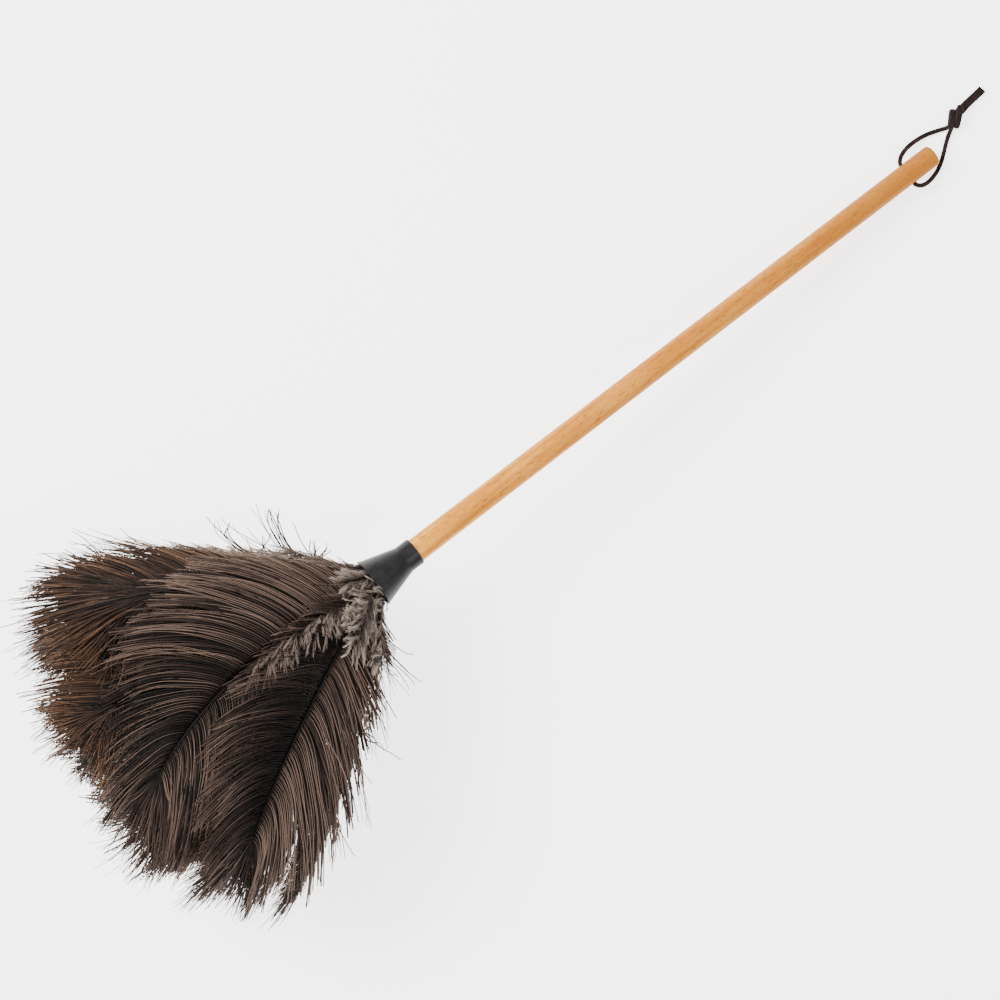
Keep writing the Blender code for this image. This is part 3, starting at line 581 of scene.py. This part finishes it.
    def add_shaft(self, foot_run, sunk, shown_to):
        """The quill and shaft, which thin to the tip and are pale at their foot: pale horn with a painted
        highlight of the glossy quill.
        """
        run = np.linspace(foot_run, self.tip + 0.25 * (self.end - self.tip), SHAFT_STEPS)[None, :]
        turns = np.radians((np.arange(SHAFT_SIDES) + 0.5) * 360.0 / SHAFT_SIDES)
        section = np.stack([np.cos(turns) * 0.5, np.sin(turns) * 0.5], axis=-1)
        thick = min(SHAFT_DIAMETER, self.quill_diameter)
        places = [0.0, self.vane_start, self.tip, self.end]
        width = np.interp(run, places, [self.quill_diameter, thick, SHAFT_AT_TIP, SHAFT_AT_END])
        # pale at the foot: pale horn, with a painted highlight of the glossy quill
        pale = np.clip(1 - run / HORN_AND_HIGHLIGHT_RUN, 0.0, 1.0)
        looks = np.stack(
            [0.8 * pale, np.full_like(run, 0.5), run / self.end, np.where(pale > 0.0, 0.0, 1.0)], axis=-1,
        )
        out = np.full_like(run, -sunk)
        if shown_to:
            out = SHAFT_STANDS_OUT * (1 - smoothstep(0.7 * shown_to, shown_to, run)) - sunk
        self.add_tubes(run, np.zeros_like(run), out, width, section, looks)

    def add_barbs(
        self, roots, side, sizes, sweeps, thickness, steps, bend, jitter, uneven, raised=0.0, arch=0.0,
        rise=0.0, groove=0.0026, flat=0.0, clump=0.7, lock_run=0.012, lock=None, curl=0.004, wave=0.0014,
        ragged=0.05, taper=0.62, down=0.0, shade=0.0, painted_root_sheen=0.0, barbule=0.0013, per_step=2,
    ):
        """Barbs that sweep forward from their roots on the shaft, in locks that lean and wave together."""
        count = len(roots)
        random = self.random
        a = np.linspace(0.0, 1.0, steps)[None, :]
        if lock is None:
            lock = np.floor((roots - roots.min()) / lock_run + random.uniform(-0.2, 0.2, count)).astype(int)
            lock = lock - lock.min()
        locks = lock.max() + 1
        members = np.maximum(np.bincount(lock, minlength=locks), 1)
        middle = np.bincount(lock, roots, minlength=locks) / members
        pull = (clump * random.uniform(0.4, 1.25, locks))[lock]
        shift = (pull * (middle[lock] - roots) + random.normal(0.0, 2.6 * jitter, locks)[lock])[:, None]
        sink = random.normal(0.0, 1.2 * jitter, locks)[lock][:, None]
        lock_phase = random.uniform(0.0, 2 * np.pi, locks)[lock][:, None]
        lock_turns = random.uniform(0.7, 1.25, locks)[lock][:, None]
        lock_tone = random.normal(0.0, 0.11, locks)[lock]
        long = (random.normal(1.0, uneven, count) * random.normal(1.0, ragged, locks)[lock])[:, None]
        bends = np.clip(bend + random.normal(0.0, 0.08, locks)[lock], 0.05, 0.95)[:, None]
        own = random.uniform(0.0, 2 * np.pi, count)[:, None]
        late = smoothstep(0.25, 1.0, a)
        run = roots[:, None] + sweeps[:, None] * long * (bends * a + (1 - bends) * a ** 2.3)
        run = run + shift * late + random.normal(0.0, jitter, count)[:, None] * a ** 1.4
        ripple = 1.6 * np.sin(2 * np.pi * a * lock_turns + lock_phase) + 0.6 * np.sin(9.0 * a + own)
        run = run + wave * a * ripple
        across = side * (0.0004 + sizes[:, None] * long * (a - 0.08 * np.sin(np.pi * a)))
        across = across + wave * 0.8 * np.sin(8.0 * a + own) * a
        out = raised - 0.45 * groove + groove * (1 - np.exp(-a / 0.08))
        out = out + arch * np.sin(np.pi * a ** 0.85) + rise * a ** 1.3
        out = out + wave * np.sin(lock_phase + a * 5.0) * a + sink * late
        out = out + random.normal(0.0, jitter * 0.45, count)[:, None] * a
        out = out - curl * a ** 3 * random.uniform(0.3, 1.3, count)[:, None]
        width = thickness * (1 - taper * a ** 2.2) * random.uniform(0.7, 1.2, count)[:, None]
        tone = np.clip(random.random(count) + lock_tone, -0.4, 1.4)[:, None]
        tone = 0.5 + (tone - 0.5) * np.minimum(0.15 + 4.0 * a, 1.0) - shade
        vane = np.clip(roots / self.end, 0.0, 1.0)[:, None] * np.ones_like(a)
        solid = np.broadcast_to(1.0 - np.reshape(down, (-1, 1)), tone.shape)
        # the barbs start paler at the shaft: a painted sheen near the shaft
        along = painted_root_sheen + (1 - painted_root_sheen) * np.broadcast_to(a, tone.shape)
        looks = np.stack([along, tone, vane, solid], axis=-1)
        found = self.add_tubes(run, across, out, width, BARB_SECTION, looks, flat)
        if per_step:
            self.add_barbules(*found, looks, per_step, barbule)

    def add_tufts(self, first, last, side, tufts, sizes, sweeps, raised=0.0, rise=0.0, fade=0.0, pale=1.0):
        """Small locks of down, each of a few soft barbs from nearby roots that meet at a pale point."""
        lock = np.repeat(np.arange(tufts), BARBS_OF_A_TUFT)
        random = self.random
        aside = random.uniform(-0.5, 0.5, tufts) * (last - first) / tufts
        centres = np.linspace(first, last, tufts) + aside
        roots = centres[lock] + random.uniform(-TUFT_SPREAD, TUFT_SPREAD, len(lock))
        size = random.uniform(*sizes, tufts)[lock]
        sweep = random.uniform(*sweeps, tufts)[lock]
        down = np.clip(pale - fade * centres, 0.0, 1.0)[lock]
        self.add_barbs(
            roots, side, size, sweep, 0.00050, 8, bend=0.8, jitter=0.0007, uneven=0.07, raised=raised,
            rise=rise, groove=0.001, clump=0.78, lock=lock, curl=0.0016, wave=0.0008, down=down,
            barbule=0.0016,
        )

    def build(self, name, material):
        """The plume's mesh, with each point's look and a map that gives every barb its own row."""
        points = np.concatenate(self.points)
        faces = np.concatenate(self.faces).astype(np.int32)
        looks = np.concatenate(self.looks)
        places = np.concatenate(self.places)
        places[:, 1] /= self.rows
        mesh = bpy.data.meshes.new(name)
        mesh.vertices.add(len(points))
        mesh.vertices.foreach_set("co", points.astype(np.float32).ravel())
        mesh.loops.add(faces.size)
        mesh.loops.foreach_set("vertex_index", faces.ravel())
        mesh.polygons.add(len(faces))
        mesh.polygons.foreach_set("loop_start", np.arange(len(faces), dtype=np.int32) * 3)
        mesh.update(calc_edges=True)
        mesh.shade_smooth()
        shades = mesh.attributes.new("barb_look", "FLOAT_COLOR", "POINT")
        shades.data.foreach_set("color", looks.astype(np.float32).ravel())
        layout = mesh.uv_layers.new(name="OFBake")
        layout.uv.foreach_set("vector", places[faces.ravel()].astype(np.float32).ravel())
        mesh.materials.append(material)
        piece = bpy.data.objects.new(name, mesh)
        bpy.context.scene.collection.objects.link(piece)
        return piece


def plume_finish(name, barb_colours, down_colours):
    """Barbs near black at the shaft and browner at their ends; down is grey with pale ends, and its dark
    roots are painted shade, as at the collar's mouth.
    """
    finish = Finish(name, Specular_IOR_Level=0.14)
    look = finish.node("ShaderNodeAttribute", {"attribute_name": "barb_look"}, {}, out="Color")
    along = finish.node("ShaderNodeSeparateColor", {}, {"Color": look}, out="Red")
    tone = finish.node("ShaderNodeSeparateColor", {}, {"Color": look}, out="Green")
    solid = finish.node("ShaderNodeAttribute", {"attribute_name": "barb_look"}, {}, out="Alpha")
    mottle = finish.noise(finish.place(), 24.0, 3.0)
    drift = along + (tone - 0.5) * 0.62 + (mottle - 0.5) * 0.50
    barb = finish.ramp(drift, tuple(zip((0.10, 0.55, 1.0), barb_colours)))
    # the down's dark first stop is painted shade at its roots, as in the collar's mouth
    downy = finish.ramp(along + (tone - 0.5) * 0.5, tuple(zip((0.10, 0.58, 1.0), down_colours)))
    finish.show("Base Color", finish.mixed(solid, downy, barb))
    finish.show("Roughness", 0.62 - tone * 0.16)
    return finish.material


# The first down colour of each finish is painted shade at the down's roots
plume_black = plume_finish(
    "black_brown_plume",
    ((0.0040, 0.0028, 0.0024), (0.034, 0.0215, 0.0165), (0.150, 0.0980, 0.0730)),
    ((0.018, 0.0120, 0.0090), (0.140, 0.106, 0.084), (0.42, 0.350, 0.295)),
)
plume_brown = plume_finish(
    "warm_brown_plume",
    ((0.0046, 0.0026, 0.0017), (0.034, 0.0160, 0.0085), (0.122, 0.0620, 0.0325)),
    ((0.018, 0.0110, 0.0080), (0.140, 0.102, 0.076), (0.42, 0.335, 0.265)),
)
WARM_PLUMES = (
    "outer_feather_4", "outer_feather_5", "outer_feather_6", "middle_feather_3", "middle_feather_4",
    "middle_feather_5", "inner_feather_2", "inner_feather_3",
)

# The rows of plumes from the outside inwards: azimuths, leans and sways are in degrees, lengths are
# shares of the reach, the vane starts that far along the shaft, and barbs spread that far from it
EIGHT_BETWEEN = (22.5, 67.5, 112.5, 157.5, 202.5, 247.5, 292.5, 337.5)
ROWS = (
    dict(
        kind="outer", layer=Layer(0.0091, 61.0, 0.0240), reach=HEAD_REACH, vane_start=0.0290, spread=0.0590,
        quill=0.0024, azimuths=(0, 45, 90, 135, 180, 225, 270, 315), leans=(4, 18, 6, 2, 0, 0, 0, 0),
        sways=(-3, -20, -18, 4, 2, -1, 2, 1), lengths=(0.97, 0.99, 0.98, 0.97, 1.0, 0.98, 0.95, 0.97),
    ),
    dict(
        kind="middle", layer=Layer(0.00705, 43.0, 0.0260), reach=HEAD_REACH, vane_start=0.0440, spread=0.0520,
        quill=0.0024, azimuths=EIGHT_BETWEEN, leans=(0,) * 8, sways=(2, -2, 2, -2, 3, -1, 2, -1),
        lengths=(0.99, 1.0, 0.98, 1.0, 0.97, 0.99, 0.96, 0.98),
    ),
    dict(
        kind="inner", layer=Layer(0.0064, 26.0, 0.0300), reach=HEAD_REACH, vane_start=0.0620, spread=0.0400,
        quill=0.0024, azimuths=(0, 90, 180, 225, 315), leans=(0,) * 5, sways=(6, -8, 7, -5, 4),
        lengths=(0.98, 1.0, 0.99, 0.97, 0.98),
    ),
    dict(
        kind="core", layer=Layer(0.0064, 9.0, 0.0300), reach=HEAD_REACH, vane_start=0.0900, spread=0.0220,
        quill=0.0024, azimuths=(45, 135, 270), leans=(0,) * 3, sways=(-5, 6, 4), lengths=(0.99, 1.0, 0.97),
    ),
    dict(
        kind="down", layer=Layer(0.00945, 68.0, 0.0150), reach=0.0860, vane_start=0.0125, spread=0.0270,
        quill=0.0018, azimuths=EIGHT_BETWEEN, leans=(0,) * 8, sways=(4, -5, 6, -4, 5, -6, 4, -5),
        lengths=(0.70, 0.56, 0.60, 0.74, 0.64, 0.50, 0.48, 0.64),
    ),
)
# The run along outer plume 3 in which its shaft stands clear of the down
SHAFT_SEEN_TO = {"outer_feather_3": 0.052}

# Each row's plies of barbs, from the vane's outer face inwards: spacing, height over the face,
# thickness, share of the length, darkness, steps along a barb, barbules on each step, and how far
# the barbs of a lock gather. The darkness is painted shade: the plies deeper under the face are
# darker, for the shade inside the vane.
PLIES = {
    "outer": (
        (0.0020, 0.0, 0.00050, 1.0, -0.16, 12, 2, 0.34),
        (0.0017, -0.0017, 0.00100, 0.98, 0.42, 9, 1, 0.5),
        (0.0015, -0.0034, 0.00140, 0.97, 0.60, 8, 0, 0.1),
    ),
    "middle": (
        (0.0022, 0.0, 0.00080, 1.0, 0.0, 10, 1, 0.6),
        (0.0018, -0.0018, 0.00125, 0.99, 0.35, 8, 0, 0.3),
        (0.0016, -0.0034, 0.00145, 0.97, 0.45, 8, 0, 0.1),
    ),
    "inner": (
        (0.0020, 0.0, 0.00120, 1.0, 0.15, 10, 1, 0.5),
        (0.0016, -0.0018, 0.00145, 0.97, 0.4, 8, 0, 0.1),
    ),
    "core": ((0.0016, 0.0, 0.00130, 1.0, 0.2, 8, 1, 0.4),),
}
# How the barbs of a plume's side look. long: the share of the spread that they reach. foot: the
# share of that at the vane's foot. begins: where on the vane they start to lengthen. flat: how flat
# the vane is. sweep: how far they sweep forward. shorter: how much they shorten at the tip, and
# late: where that starts. lift: how far their ends rise. thick: their thickness for the ply's.
# ragged: how uneven the locks are. dark: their darkness, partly their own tone and partly painted
# light and shade laid over a whole side; dims: how much of it is added towards the tip, and root:
# how much paler they start at the shaft, a painted sheen near the shaft.
USUAL_SIDE = dict(
    foot=0.35, begins=0.0, flat=0.3, sweep=0.95, shorter=0.2, late=0.55, lift=0.0, thick=1.0, ragged=0.05,
    dark=0.1, dims=0.0, root=0.0,
)
KIND_LOOKS = {
    "outer": dict(long=1.10, flat=0.25, shorter=0.3, dark=0.0),
    "middle": dict(long=1.15, begins=0.1, flat=0.25, dark=0.0),
    "inner": dict(long=1.35),
    "core": dict(long=1.9),
}
# The darks and roots of single sides are partly painted light and shade laid over those sides, and partly
# their own tone
OWN_LOOKS = {
    ("outer_feather_1", -1): dict(long=0.80, flat=0.6, ragged=0.10, dark=0.1),
    ("outer_feather_1", 1): dict(long=0.70, foot=0.45, sweep=1.0, lift=-0.008, dark=-0.1),
    ("outer_feather_2", -1): dict(
        long=1.30, foot=0.50, flat=1.1, sweep=0.78, shorter=0.62, lift=0.004, thick=1.3, ragged=0.10,
        dark=-0.44, root=0.34,
    ),
    ("outer_feather_2", 1): dict(
        long=1.25, flat=0.2, sweep=1.0, shorter=0.4, ragged=0.08, dark=0.62, root=0.03,
    ),
    ("outer_feather_3", -1): dict(
        long=1.00, foot=0.30, flat=0.2, sweep=1.0, dark=-0.54, dims=0.40, root=0.24,
    ),
    ("outer_feather_3", 1): dict(
        long=1.60, foot=0.66, flat=0.2, shorter=0.70, late=0.30, lift=0.006, ragged=0.09, dark=-0.82,
        dims=1.20, root=0.24,
    ),
    ("outer_feather_4", -1): dict(
        long=1.20, foot=0.20, flat=0.2, sweep=0.9, shorter=0.1, lift=-0.003, dark=0.1,
    ),
    ("outer_feather_4", 1): dict(
        long=1.26, foot=0.10, begins=0.30, flat=0.7, sweep=0.75, shorter=0.0, dark=-0.4, dims=0.3,
    ),
    ("outer_feather_5", -1): dict(foot=0.03, begins=0.45, flat=0.2, sweep=0.9, dark=-0.6, root=0.22),
    ("outer_feather_5", 1): dict(long=1.15, foot=0.03, begins=0.45, flat=0.3, sweep=0.9, dark=-0.1),
    ("middle_feather_3", 1): dict(long=1.45, foot=0.5, shorter=0.5, dark=0.1),
    ("inner_feather_2", 1): dict(long=1.5, foot=0.5, shorter=0.0, dark=0.1),
}
# The fan of barbs round a plume's tip: where it starts before the plume's end and how long it is,
# both as shares of the spread, and its widest turn in degrees
USUAL_FAN = (0.66, 0.80, 50.0)
FANS = {
    "outer_feather_2": (0.66, 0.62, 50.0),
    "outer_feather_4": (1.45, 1.44, 60.0),
    "outer_feather_5": (0.80, 0.80, 74.0),
    "middle_feather_1": (0.80, 1.10, 66.0),
    "middle_feather_2": (0.66, 1.04, 50.0),
    "middle_feather_3": (0.66, 0.86, 50.0),
    "middle_feather_4": (0.80, 0.86, 50.0),
    "middle_feather_5": (0.80, 0.86, 50.0),
    "inner_feather_1": (0.66, 1.15, 80.0),
    "inner_feather_2": (0.80, 0.80, 50.0),
}
# A fan's plies: height, darkness, barbs on a side in a fan as long as FAN_COUNT_SHARE, and thickness;
# the darkness is painted shade, darker for the plies lower down
FAN_PLIES = ((0.0, 0.0, 20, 0.0007), (-0.0014, 0.3, 30, 0.0012), (-0.0028, 0.5, 30, 0.0014))
FAN_COUNT_SHARE = 0.90
FAN_FIRST_TURN_DEG = 1.0
FAN_SCATTER_DEG = 2.0
FAN_ROOTS_PAST_TIP = 0.006
FAN_ROOTS_RUN = 0.018
OUTER_FAN_DARKNESS = 0.3
# Soft locks on each side of a down feather and at an outer plume's foot: there, sizes and sweeps
LOCKS_FIRST = 0.005
LOCKS_ON_A_SIDE = 14
FOOT_LOCKS_LAST = 0.040
USUAL_FOOT_LOCKS = ((0.006, 0.016), (0.010, 0.026))
FOOT_LOCKS = {
    ("outer_feather_3", 1): ((0.012, 0.030), (0.010, 0.026)),
    ("outer_feather_4", 1): ((0.008, 0.020), (0.012, 0.030)),
}
# Downy locks along a shaft, each at the heights given first: a strip beside plume 3's shaft, and
# the fuzz on the head's top edge
STRIP_LOCKS = dict(
    first=0.012, last=0.142, tufts=52, sizes=(0.004, 0.020), sweeps=(0.014, 0.032), rise=0.010, fade=4.6,
    pale=0.80,
)
EDGE_LOCKS = dict(
    first=0.008, last=0.130, tufts=42, sizes=(0.004, 0.014), sweeps=(0.014, 0.030), rise=0.010, fade=3.6,
    pale=1.0,
)
SHAFT_LOCKS = {
    ("outer_feather_3", -1): ((0.0010, 0.0030), STRIP_LOCKS),
    ("outer_feather_5", -1): ((0.0010, 0.0040), EDGE_LOCKS),
    ("outer_feather_5", 1): ((0.0010, 0.0040), EDGE_LOCKS),
}
# Down feathers: how much of their length is seen, the locks' sizes and sweeps, and their paleness
USUAL_DOWN = (1.0, (0.005, 0.018), (0.010, 0.022), 1.0)
DOWN_LOOKS = {
    "down_feather_3": (0.40, (0.004, 0.010), (0.008, 0.016), 0.8),
    "down_feather_4": (1.0, (0.003, 0.010), (0.018, 0.034), 0.85),
    "down_feather_5": (1.0, (0.003, 0.010), (0.016, 0.030), 0.75),
}
DOWN_HEIGHTS = (0.0, 0.0030, -0.0020)
DOWN_BARE_TIP = 0.008
# Stray barbs that stand off a plume: side, first and last root, count, size, sweep and rise
STRAYS = {
    "outer_feather_1": ((1, 0.030, 0.110, 22, 0.014, 0.028, 0.012),),
    "outer_feather_2": ((-1, 0.090, 0.150, 10, 0.070, 0.042, 0.004),),
    "outer_feather_5": (
        (-1, 0.134, 0.150, 5, 0.008, 0.046, 0.015), (-1, 0.175, 0.200, 7, 0.008, 0.024, 0.009),
        (-1, 0.034, 0.090, 34, 0.010, 0.018, 0.025),
    ),
}


# A vane's barbs start before its own start, at a share of their length, with scattered roots; its
# plies under the face take a share of the side's darkness, so that their painted shade stays dark
BARBS_START_SHARE = 0.35
START_LENGTH = 0.45
ROOT_SCATTER = 0.6
DARKNESS_BELOW = 0.3


def swell(share, foot, begins):
    """How long a vane's barbs are along it, from a share at its foot to all of it past its middle."""
    share = np.maximum((share - begins) / (1 - begins), -0.05)
    return foot + (1 - foot) * np.sin(np.pi * np.minimum((share + 0.10) / 1.45, 1.0))


def look_of_side(kind, node, side):
    return USUAL_SIDE | KIND_LOOKS[kind] | OWN_LOOKS.get((node, side), {})


def grow_vane(plume, kind, node):
    """A plume's plies of barbs on both sides of its shaft, and the soft locks over them."""
    start = BARBS_START_SHARE * plume.vane_start
    for side in (-1, 1):
        look = look_of_side(kind, node, side)
        for spacing, height, thickness, long, shade, steps, per_step, clump in PLIES[kind]:
            on_face = height == 0.0
            count = int((plume.tip - start) / spacing)
            roots = np.arange(count) + plume.random.random(count) * ROOT_SCATTER
            roots = start + (plume.tip - start) * roots / count
            share = (roots - plume.vane_start) / (plume.tip - plume.vane_start)
            inside = np.clip(share, 0.0, 1.0)
            late = smoothstep(look["late"], 1.0, share)
            size = look["long"] * long * plume.spread * swell(share, look["foot"], look["begins"])
            size = size * np.clip(START_LENGTH + (1 - START_LENGTH) * roots / plume.vane_start, 0.0, 1.0)
            sweep = size * look["sweep"] * (1.08 - (0.12 + 0.30 * look["shorter"]) * late)
            # darkness: the ply's painted shade, with the side's own tone and its painted light and shade; the
            # side's paler roots are a painted sheen on the face
            dark = shade + look["dark"] * (1.0 if on_face else DARKNESS_BELOW) + look["dims"] * inside
            plume.add_barbs(
                roots, side, size * (1 - look["shorter"] * late), sweep, thickness * look["thick"], steps,
                bend=0.62 - 0.30 * inside, jitter=0.0013, uneven=0.055, raised=height, arch=0.0030,
                rise=look["lift"], flat=look["flat"], clump=clump, ragged=look["ragged"], taper=0.42,
                shade=dark[:, None], painted_root_sheen=look["root"] * on_face, per_step=per_step,
            )
        if kind == "outer":
            sizes, sweeps = FOOT_LOCKS.get((node, side), USUAL_FOOT_LOCKS)
            plume.add_tufts(
                LOCKS_FIRST, FOOT_LOCKS_LAST, side, LOCKS_ON_A_SIDE, sizes, sweeps, raised=0.0020, fade=8.0,
            )
        heights, locks = SHAFT_LOCKS.get((node, side), ((), {}))
        for height in heights:
            plume.add_tufts(side=side, raised=height, **locks)


def grow_fan(plume, kind, node):
    """The barbs round a plume's tip, which fan out from straight ahead to both sides."""
    _, fan_length, fan_turn = FANS.get(node, USUAL_FAN)
    size = fan_length * plume.spread
    outer = kind == "outer"
    for height, shade, count, thickness in FAN_PLIES:
        for side in (-1, 1):
            barbs = int(count * (fan_length / FAN_COUNT_SHARE) ** 2)
            turn = np.linspace(FAN_FIRST_TURN_DEG, fan_turn, barbs)
            turn = np.radians(turn + plume.random.uniform(-FAN_SCATTER_DEG, FAN_SCATTER_DEG, barbs))
            roots = plume.tip + FAN_ROOTS_PAST_TIP - FAN_ROOTS_RUN * fan_length * plume.random.random(barbs)
            plume.add_barbs(
                roots, side, np.sin(turn) * size, np.cos(turn) * size, thickness * max(fan_length, 1.0), 9,
                bend=0.75, jitter=0.0019, uneven=0.10, raised=height,
                flat=look_of_side(kind, node, side)["flat"], clump=0.3, lock_run=0.004,
                shade=shade + OUTER_FAN_DARKNESS * outer, per_step=2 if outer and height == 0.0 else 0,
            )


def grow_strays(plume, node):
    """Long limp barbs that have come loose and stand off the vane."""
    for side, first, last, count, size, sweep, rise in STRAYS.get(node, ()):
        roots = plume.random.uniform(first, last, count)
        sizes = size * plume.random.uniform(0.6, 1.4, count)
        sweeps = sweep * plume.random.uniform(0.6, 1.3, count)
        plume.add_barbs(
            roots, side, sizes, sweeps, 0.0012, 14, bend=0.55, jitter=0.006, uneven=0.12, rise=rise, flat=0.8,
            clump=0.2, curl=-0.006, wave=0.0024, taper=0.5, barbule=0.0011,
        )


def grow_down(plume, node):
    """The short soft locks of a down feather."""
    seen, sizes, sweeps, pale = DOWN_LOOKS.get(node, USUAL_DOWN)
    last = seen * (plume.end - DOWN_BARE_TIP)
    for side in (-1, 1):
        for height in DOWN_HEIGHTS:
            plume.add_tufts(
                LOCKS_FIRST, last, side, LOCKS_ON_A_SIDE, sizes, sweeps, raised=height, pale=pale,
            )


for row in ROWS:
    kind = row["kind"]
    is_down = kind == "down"
    feathers = zip(row["azimuths"], row["leans"], row["sways"], row["lengths"])
    for number, (azimuth, lean, sway, length) in enumerate(feathers, start=1):
        node = f"{kind}_feather_{number}"
        plume = Plume(
            row["layer"], (azimuth, lean, sway), row["reach"] * length, row["vane_start"], row["spread"],
            row["quill"], FANS.get(node, USUAL_FAN)[0], sum(map(ord, node)),
        )
        plume.add_shaft(FLARE_START - QUILL_FOOT, 0.0 if is_down else SHAFT_SUNK, SHAFT_SEEN_TO.get(node))
        if is_down:
            grow_down(plume, node)
        else:
            grow_vane(plume, kind, node)
            grow_fan(plume, kind, node)
            grow_strays(plume, node)
        piece = plume.build(f"{node}_plume", plume_brown if node in WARM_PLUMES else plume_black)
        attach(piece, "duster")
        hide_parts(node)


# Binding: waxed twine of two plies, wound tight in three turns round the quills, so that it holds
# them on the handle's spigot inside the collar.
TWINE_DIAMETER = 0.0014
TWINE_PITCH = 0.0020
TWINE_TURNS = 3
TWINE_RADIUS = 0.01135
TWINE_STEPS_PER_TURN = 96
PLY_DIAMETER = 0.00078
PLY_TWISTS_PER_TURN = 9
PLY_SIDES = 6
twine_low, twine_high = (np.array(corner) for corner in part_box("binding_twine"))


def wind_twine():
    middle = (twine_low + twine_high) / 2
    handle_way = np.array([math.cos(TILT), 0.0, -math.sin(TILT)])
    sideways = np.array([0.0, 1.0, 0.0])
    upright = np.array([math.sin(TILT), 0.0, math.cos(TILT)])
    offset = (TWINE_DIAMETER - PLY_DIAMETER) / 2
    count = TWINE_TURNS * TWINE_STEPS_PER_TURN
    step = np.arange(count + 1)
    turn = 2 * np.pi * step / TWINE_STEPS_PER_TURN
    ahead = (step / TWINE_STEPS_PER_TURN - TWINE_TURNS / 2) * TWINE_PITCH
    points, faces = [], []
    for ply in (0, 1):
        twist = PLY_TWISTS_PER_TURN * turn + np.pi * ply
        radius = TWINE_RADIUS + offset * np.cos(twist)
        x = ahead + offset * np.sin(twist)
        line = (
            middle + handle_way * x[:, None] + sideways * (radius * np.cos(turn))[:, None]
            + upright * (radius * np.sin(turn))[:, None]
        )
        along = unit(np.gradient(line, axis=0))
        side = unit(np.cross(along, handle_way))
        out = np.cross(side, along)
        base = len(points)
        for place, sidewards, outwards in zip(line, side, out):
            for corner in range(PLY_SIDES):
                angle = math.radians(360 / PLY_SIDES * corner)
                corner_way = sidewards * math.cos(angle) + outwards * math.sin(angle)
                points.append(place + corner_way * PLY_DIAMETER / 2)
        for ring in range(count):
            for corner in range(PLY_SIDES):
                a = base + ring * PLY_SIDES + corner
                b = base + ring * PLY_SIDES + (corner + 1) % PLY_SIDES
                faces.append((a, b, b + PLY_SIDES, a + PLY_SIDES))
        faces.append(tuple(base + corner for corner in reversed(range(PLY_SIDES))))
        faces.append(tuple(base + count * PLY_SIDES + corner for corner in range(PLY_SIDES)))
    return points, faces


waxed_twine = Finish("waxed_twine")
fibres = waxed_twine.noise(waxed_twine.place(), 1800.0, 3.0)
waxed_twine.show("Base Color", waxed_twine.ramp(fibres, (
    (0.3, (0.26, 0.19, 0.12)), (0.7, (0.46, 0.37, 0.25)),
)))
waxed_twine.show("Roughness", fibres * 0.3 + 0.45)
waxed_twine.bump(fibres, 0.4, 0.0002)
twine = add_mesh("wound_twine", *wind_twine(), waxed_twine.material)
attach(twine, "duster")
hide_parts("binding_twine")


# Studio: a plain white surface that glows a little, under a broad soft light and a small one
# from the other side, as for a catalogue picture.
FLOOR_SIZE = 20.0
LIGHTS_AIM = Vector((-0.1, 0.0, 0.05))
LIGHTS = (
    # name, place, size, watts
    ("soft_key", (-0.9, 1.5, 1.7), 1.3, 118.0),
    ("strip_right", (0.1, -1.3, 2.2), 0.26, 20.0),
)
SKY_STRENGTH = 1.1

bpy.ops.mesh.primitive_plane_add(size=FLOOR_SIZE, location=(0.0, 0.0, 0.0))
floor = bpy.context.object
floor.name = "white_surface"
white = Finish("white_surface", Emission_Color=(1.0, 1.0, 1.0, 1.0), Emission_Strength=2.8)
tint = white.noise(white.place(), 3.0, 2.0)
white.show("Base Color", white.ramp(tint, ((0.3, (0.90, 0.90, 0.90)), (0.7, (0.92, 0.92, 0.92)))))
white.show("Roughness", 0.7)
floor.data.materials.append(white.material)

for name, place, size, watts in LIGHTS:
    bpy.ops.object.light_add(type="AREA", location=place)
    light = bpy.context.object
    light.name = name
    light.data.size = size
    light.data.energy = watts
    light.rotation_euler = (LIGHTS_AIM - Vector(place)).to_track_quat("-Z", "Y").to_euler()
world = bpy.context.scene.world or bpy.data.worlds.new("studio")
bpy.context.scene.world = world
world.use_nodes = True
world.node_tree.nodes["Background"].inputs["Color"].default_value = (1.0, 1.0, 1.0, 1.0)
world.node_tree.nodes["Background"].inputs["Strength"].default_value = SKY_STRENGTH
